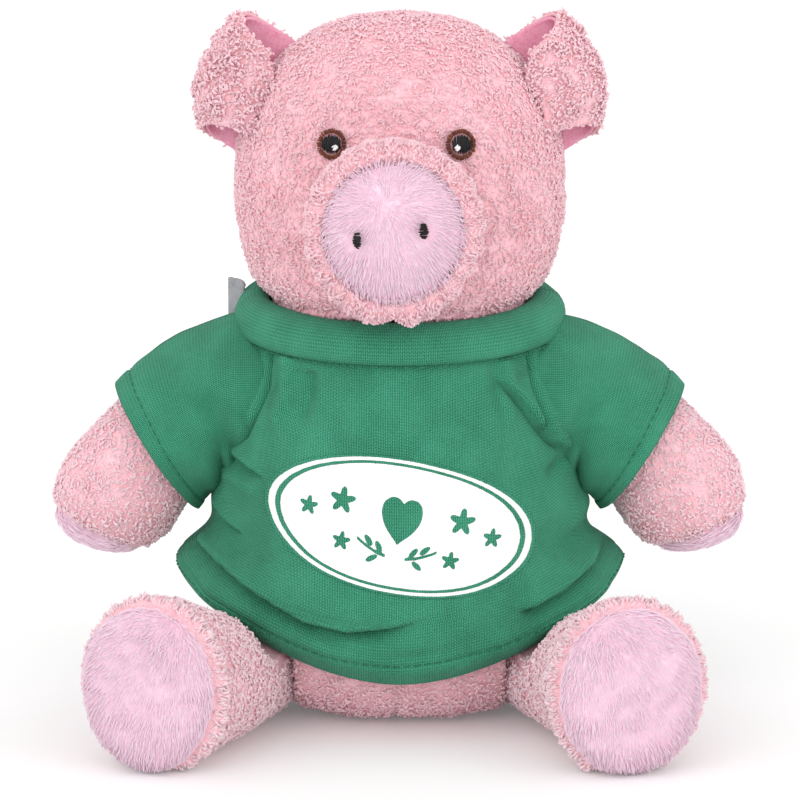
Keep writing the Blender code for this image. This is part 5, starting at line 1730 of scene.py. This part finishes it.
LABEL_ANGLE = math.radians(168)
LABEL_WIDTH = 0.011
LABEL_HEIGHT = 0.0105
LABEL_THICKNESS = 0.0009
LABEL_LEAN = math.radians(60)
LABEL_BEND_START = 0.0030
LABEL_BEND_LENGTH = 0.0030
LABEL_SEATED = 0.0014
# The label's root: how far out from the neck band's middle line and above the sleeve
LABEL_OUT = 0.0011
LABEL_ABOVE = 0.0006


def build_label():
    """A small blank label behind the neck band."""
    outward = np.array([math.cos(LABEL_ANGLE), math.sin(LABEL_ANGLE), 0])
    across = np.array([-outward[1], outward[0], 0])
    middle = band_middle(np.array([LABEL_ANGLE]))[0]
    middle = middle + outward * (LABEL_OUT + SEAM_GAP + LABEL_THICKNESS / 2 - LABEL_SEATED)
    middle[2] = SHOULDER_Z + SLEEVE_RADIUS + LABEL_ABOVE + LABEL_HEIGHT / 2 - LABEL_SEATED
    rows, columns = 24, 24
    v, u = grid_places(-1, rows, columns)
    along = (1 - u[0]) / 2 * LABEL_WIDTH
    lean = LABEL_LEAN * smooth_step((along - LABEL_BEND_START) / LABEL_BEND_LENGTH)[1:]
    step = LABEL_WIDTH / (columns - 1)
    reach, bend = (np.insert(np.cumsum(part * step), 0, 0) for part in (np.cos(lean), np.sin(lean)))
    width = (LABEL_WIDTH / 2 - reach) * (0.86 + 0.14 * (1 - np.maximum(v, 0) ** 6) ** 0.5)
    corner = 0.66 + 0.34 * (1 - np.abs(u) ** 4) ** 0.5
    points = middle + width[..., None] * across + bend[:, None] * outward
    points[..., 2] += LABEL_HEIGHT / 2 * v * np.where(v > 0, corner, 1)
    mesh = new_mesh("neck_label_tape", points.reshape(-1, 3), [grid_faces(rows, columns)])
    item = thicken(new_object("neck_label_tape", mesh), LABEL_THICKNESS)
    apply_modifiers(item)
    finish_piece(item, TAPE, "torso", ("neck_label",))


# Stage

FLOOR_SIZE = 9.0
FLOOR_NEAR_Y = -2.5
PICTURE_WIDTH = 800 * 0.29e-3
CAMERA_TILT = math.radians(10)
CAMERA_AIM_Z = 0.0887
# Suns: where from, strength and width in degrees
SUNS = {
    "key": ((-0.4, -1.0, 1.0), 0.38, 50),
    "front": ((-0.25, -1.0, 0.1), 0.42, 60),
    "fill": ((0.9, -0.8, 0.2), 0.98, 60),
    "side": ((-0.9, -0.8, 0.2), 0.60, 60),
}


def build_floor():
    """A pale floor that glows a little for the camera alone."""
    corners = [(-FLOOR_SIZE, FLOOR_NEAR_Y, 0), (FLOOR_SIZE, FLOOR_NEAR_Y, 0),
               (FLOOR_SIZE, FLOOR_SIZE, 0), (-FLOOR_SIZE, FLOOR_SIZE, 0)]
    floor = new_object("floor", new_mesh("floor", corners, [np.array([[0, 1, 2, 3]])]))
    material, tree, shader = new_material("floor", (0.93, 0.93, 0.93), 0.9)
    seen = node(tree, "LightPath").outputs["Is Camera Ray"]
    glow = node(tree, "Emission", {"Color": (1, 1, 1), "Strength": 0.12})
    both = node(tree, "AddShader", {0: shader.outputs[0], 1: glow.outputs[0]})
    choice = node(tree, "MixShader", {0: seen, 1: shader.outputs[0], 2: both.outputs[0]})
    feed(tree, tree.nodes["Material Output"], {"Surface": choice.outputs[0]})
    floor.data.materials.append(material)


def build_world():
    """Even white light, and plain white where the camera sees past the floor."""
    world = bpy.data.worlds.new("studio")
    bpy.context.scene.world = world
    world.use_nodes = True
    tree = world.node_tree
    light = tree.nodes["Background"]
    feed(tree, light, {"Color": (1, 1, 1), "Strength": 0.86})
    seen = node(tree, "LightPath").outputs["Is Camera Ray"]
    white = node(tree, "Background", {"Color": (1, 1, 1), "Strength": 1.0})
    choice = node(tree, "MixShader", {0: seen, 1: light.outputs[0], 2: white.outputs[0]})
    feed(tree, tree.nodes["World Output"], {"Surface": choice.outputs[0]})


def place_item(name, data, rotation):
    """A lamp or camera in the scene, turned its way."""
    item = new_object(name, data)
    item.rotation_mode = "QUATERNION"
    item.rotation_quaternion = rotation
    return item


def build_stage():
    """Floor, light and camera."""
    build_floor()
    build_world()
    for name, (way, strength, width) in SUNS.items():
        lamp = bpy.data.lights.new(name, "SUN")
        lamp.energy = strength
        lamp.angle = math.radians(width)
        place_item(name, lamp, Vector(way).to_track_quat("Z", "Y"))
    lens = bpy.data.cameras.new("camera")
    lens.sensor_width = 36
    lens.lens = lens.sensor_width / PICTURE_WIDTH
    lens.clip_start = 0.05
    back = Vector((0, -math.cos(CAMERA_TILT), math.sin(CAMERA_TILT)))
    camera = place_item("camera", lens, (-back).to_track_quat("-Z", "Y"))
    camera.location = Vector((0, 0, CAMERA_AIM_Z)) + back
    bpy.context.scene.camera = camera
    bpy.context.scene.view_settings.view_transform = "Standard"


build_stage()
build_torso()
build_legs()
build_arms()
build_head()
build_snout()
build_eyes()
build_nostrils()
build_ears()
build_shirt()
build_band()
build_sleeves()
build_print()
build_label()
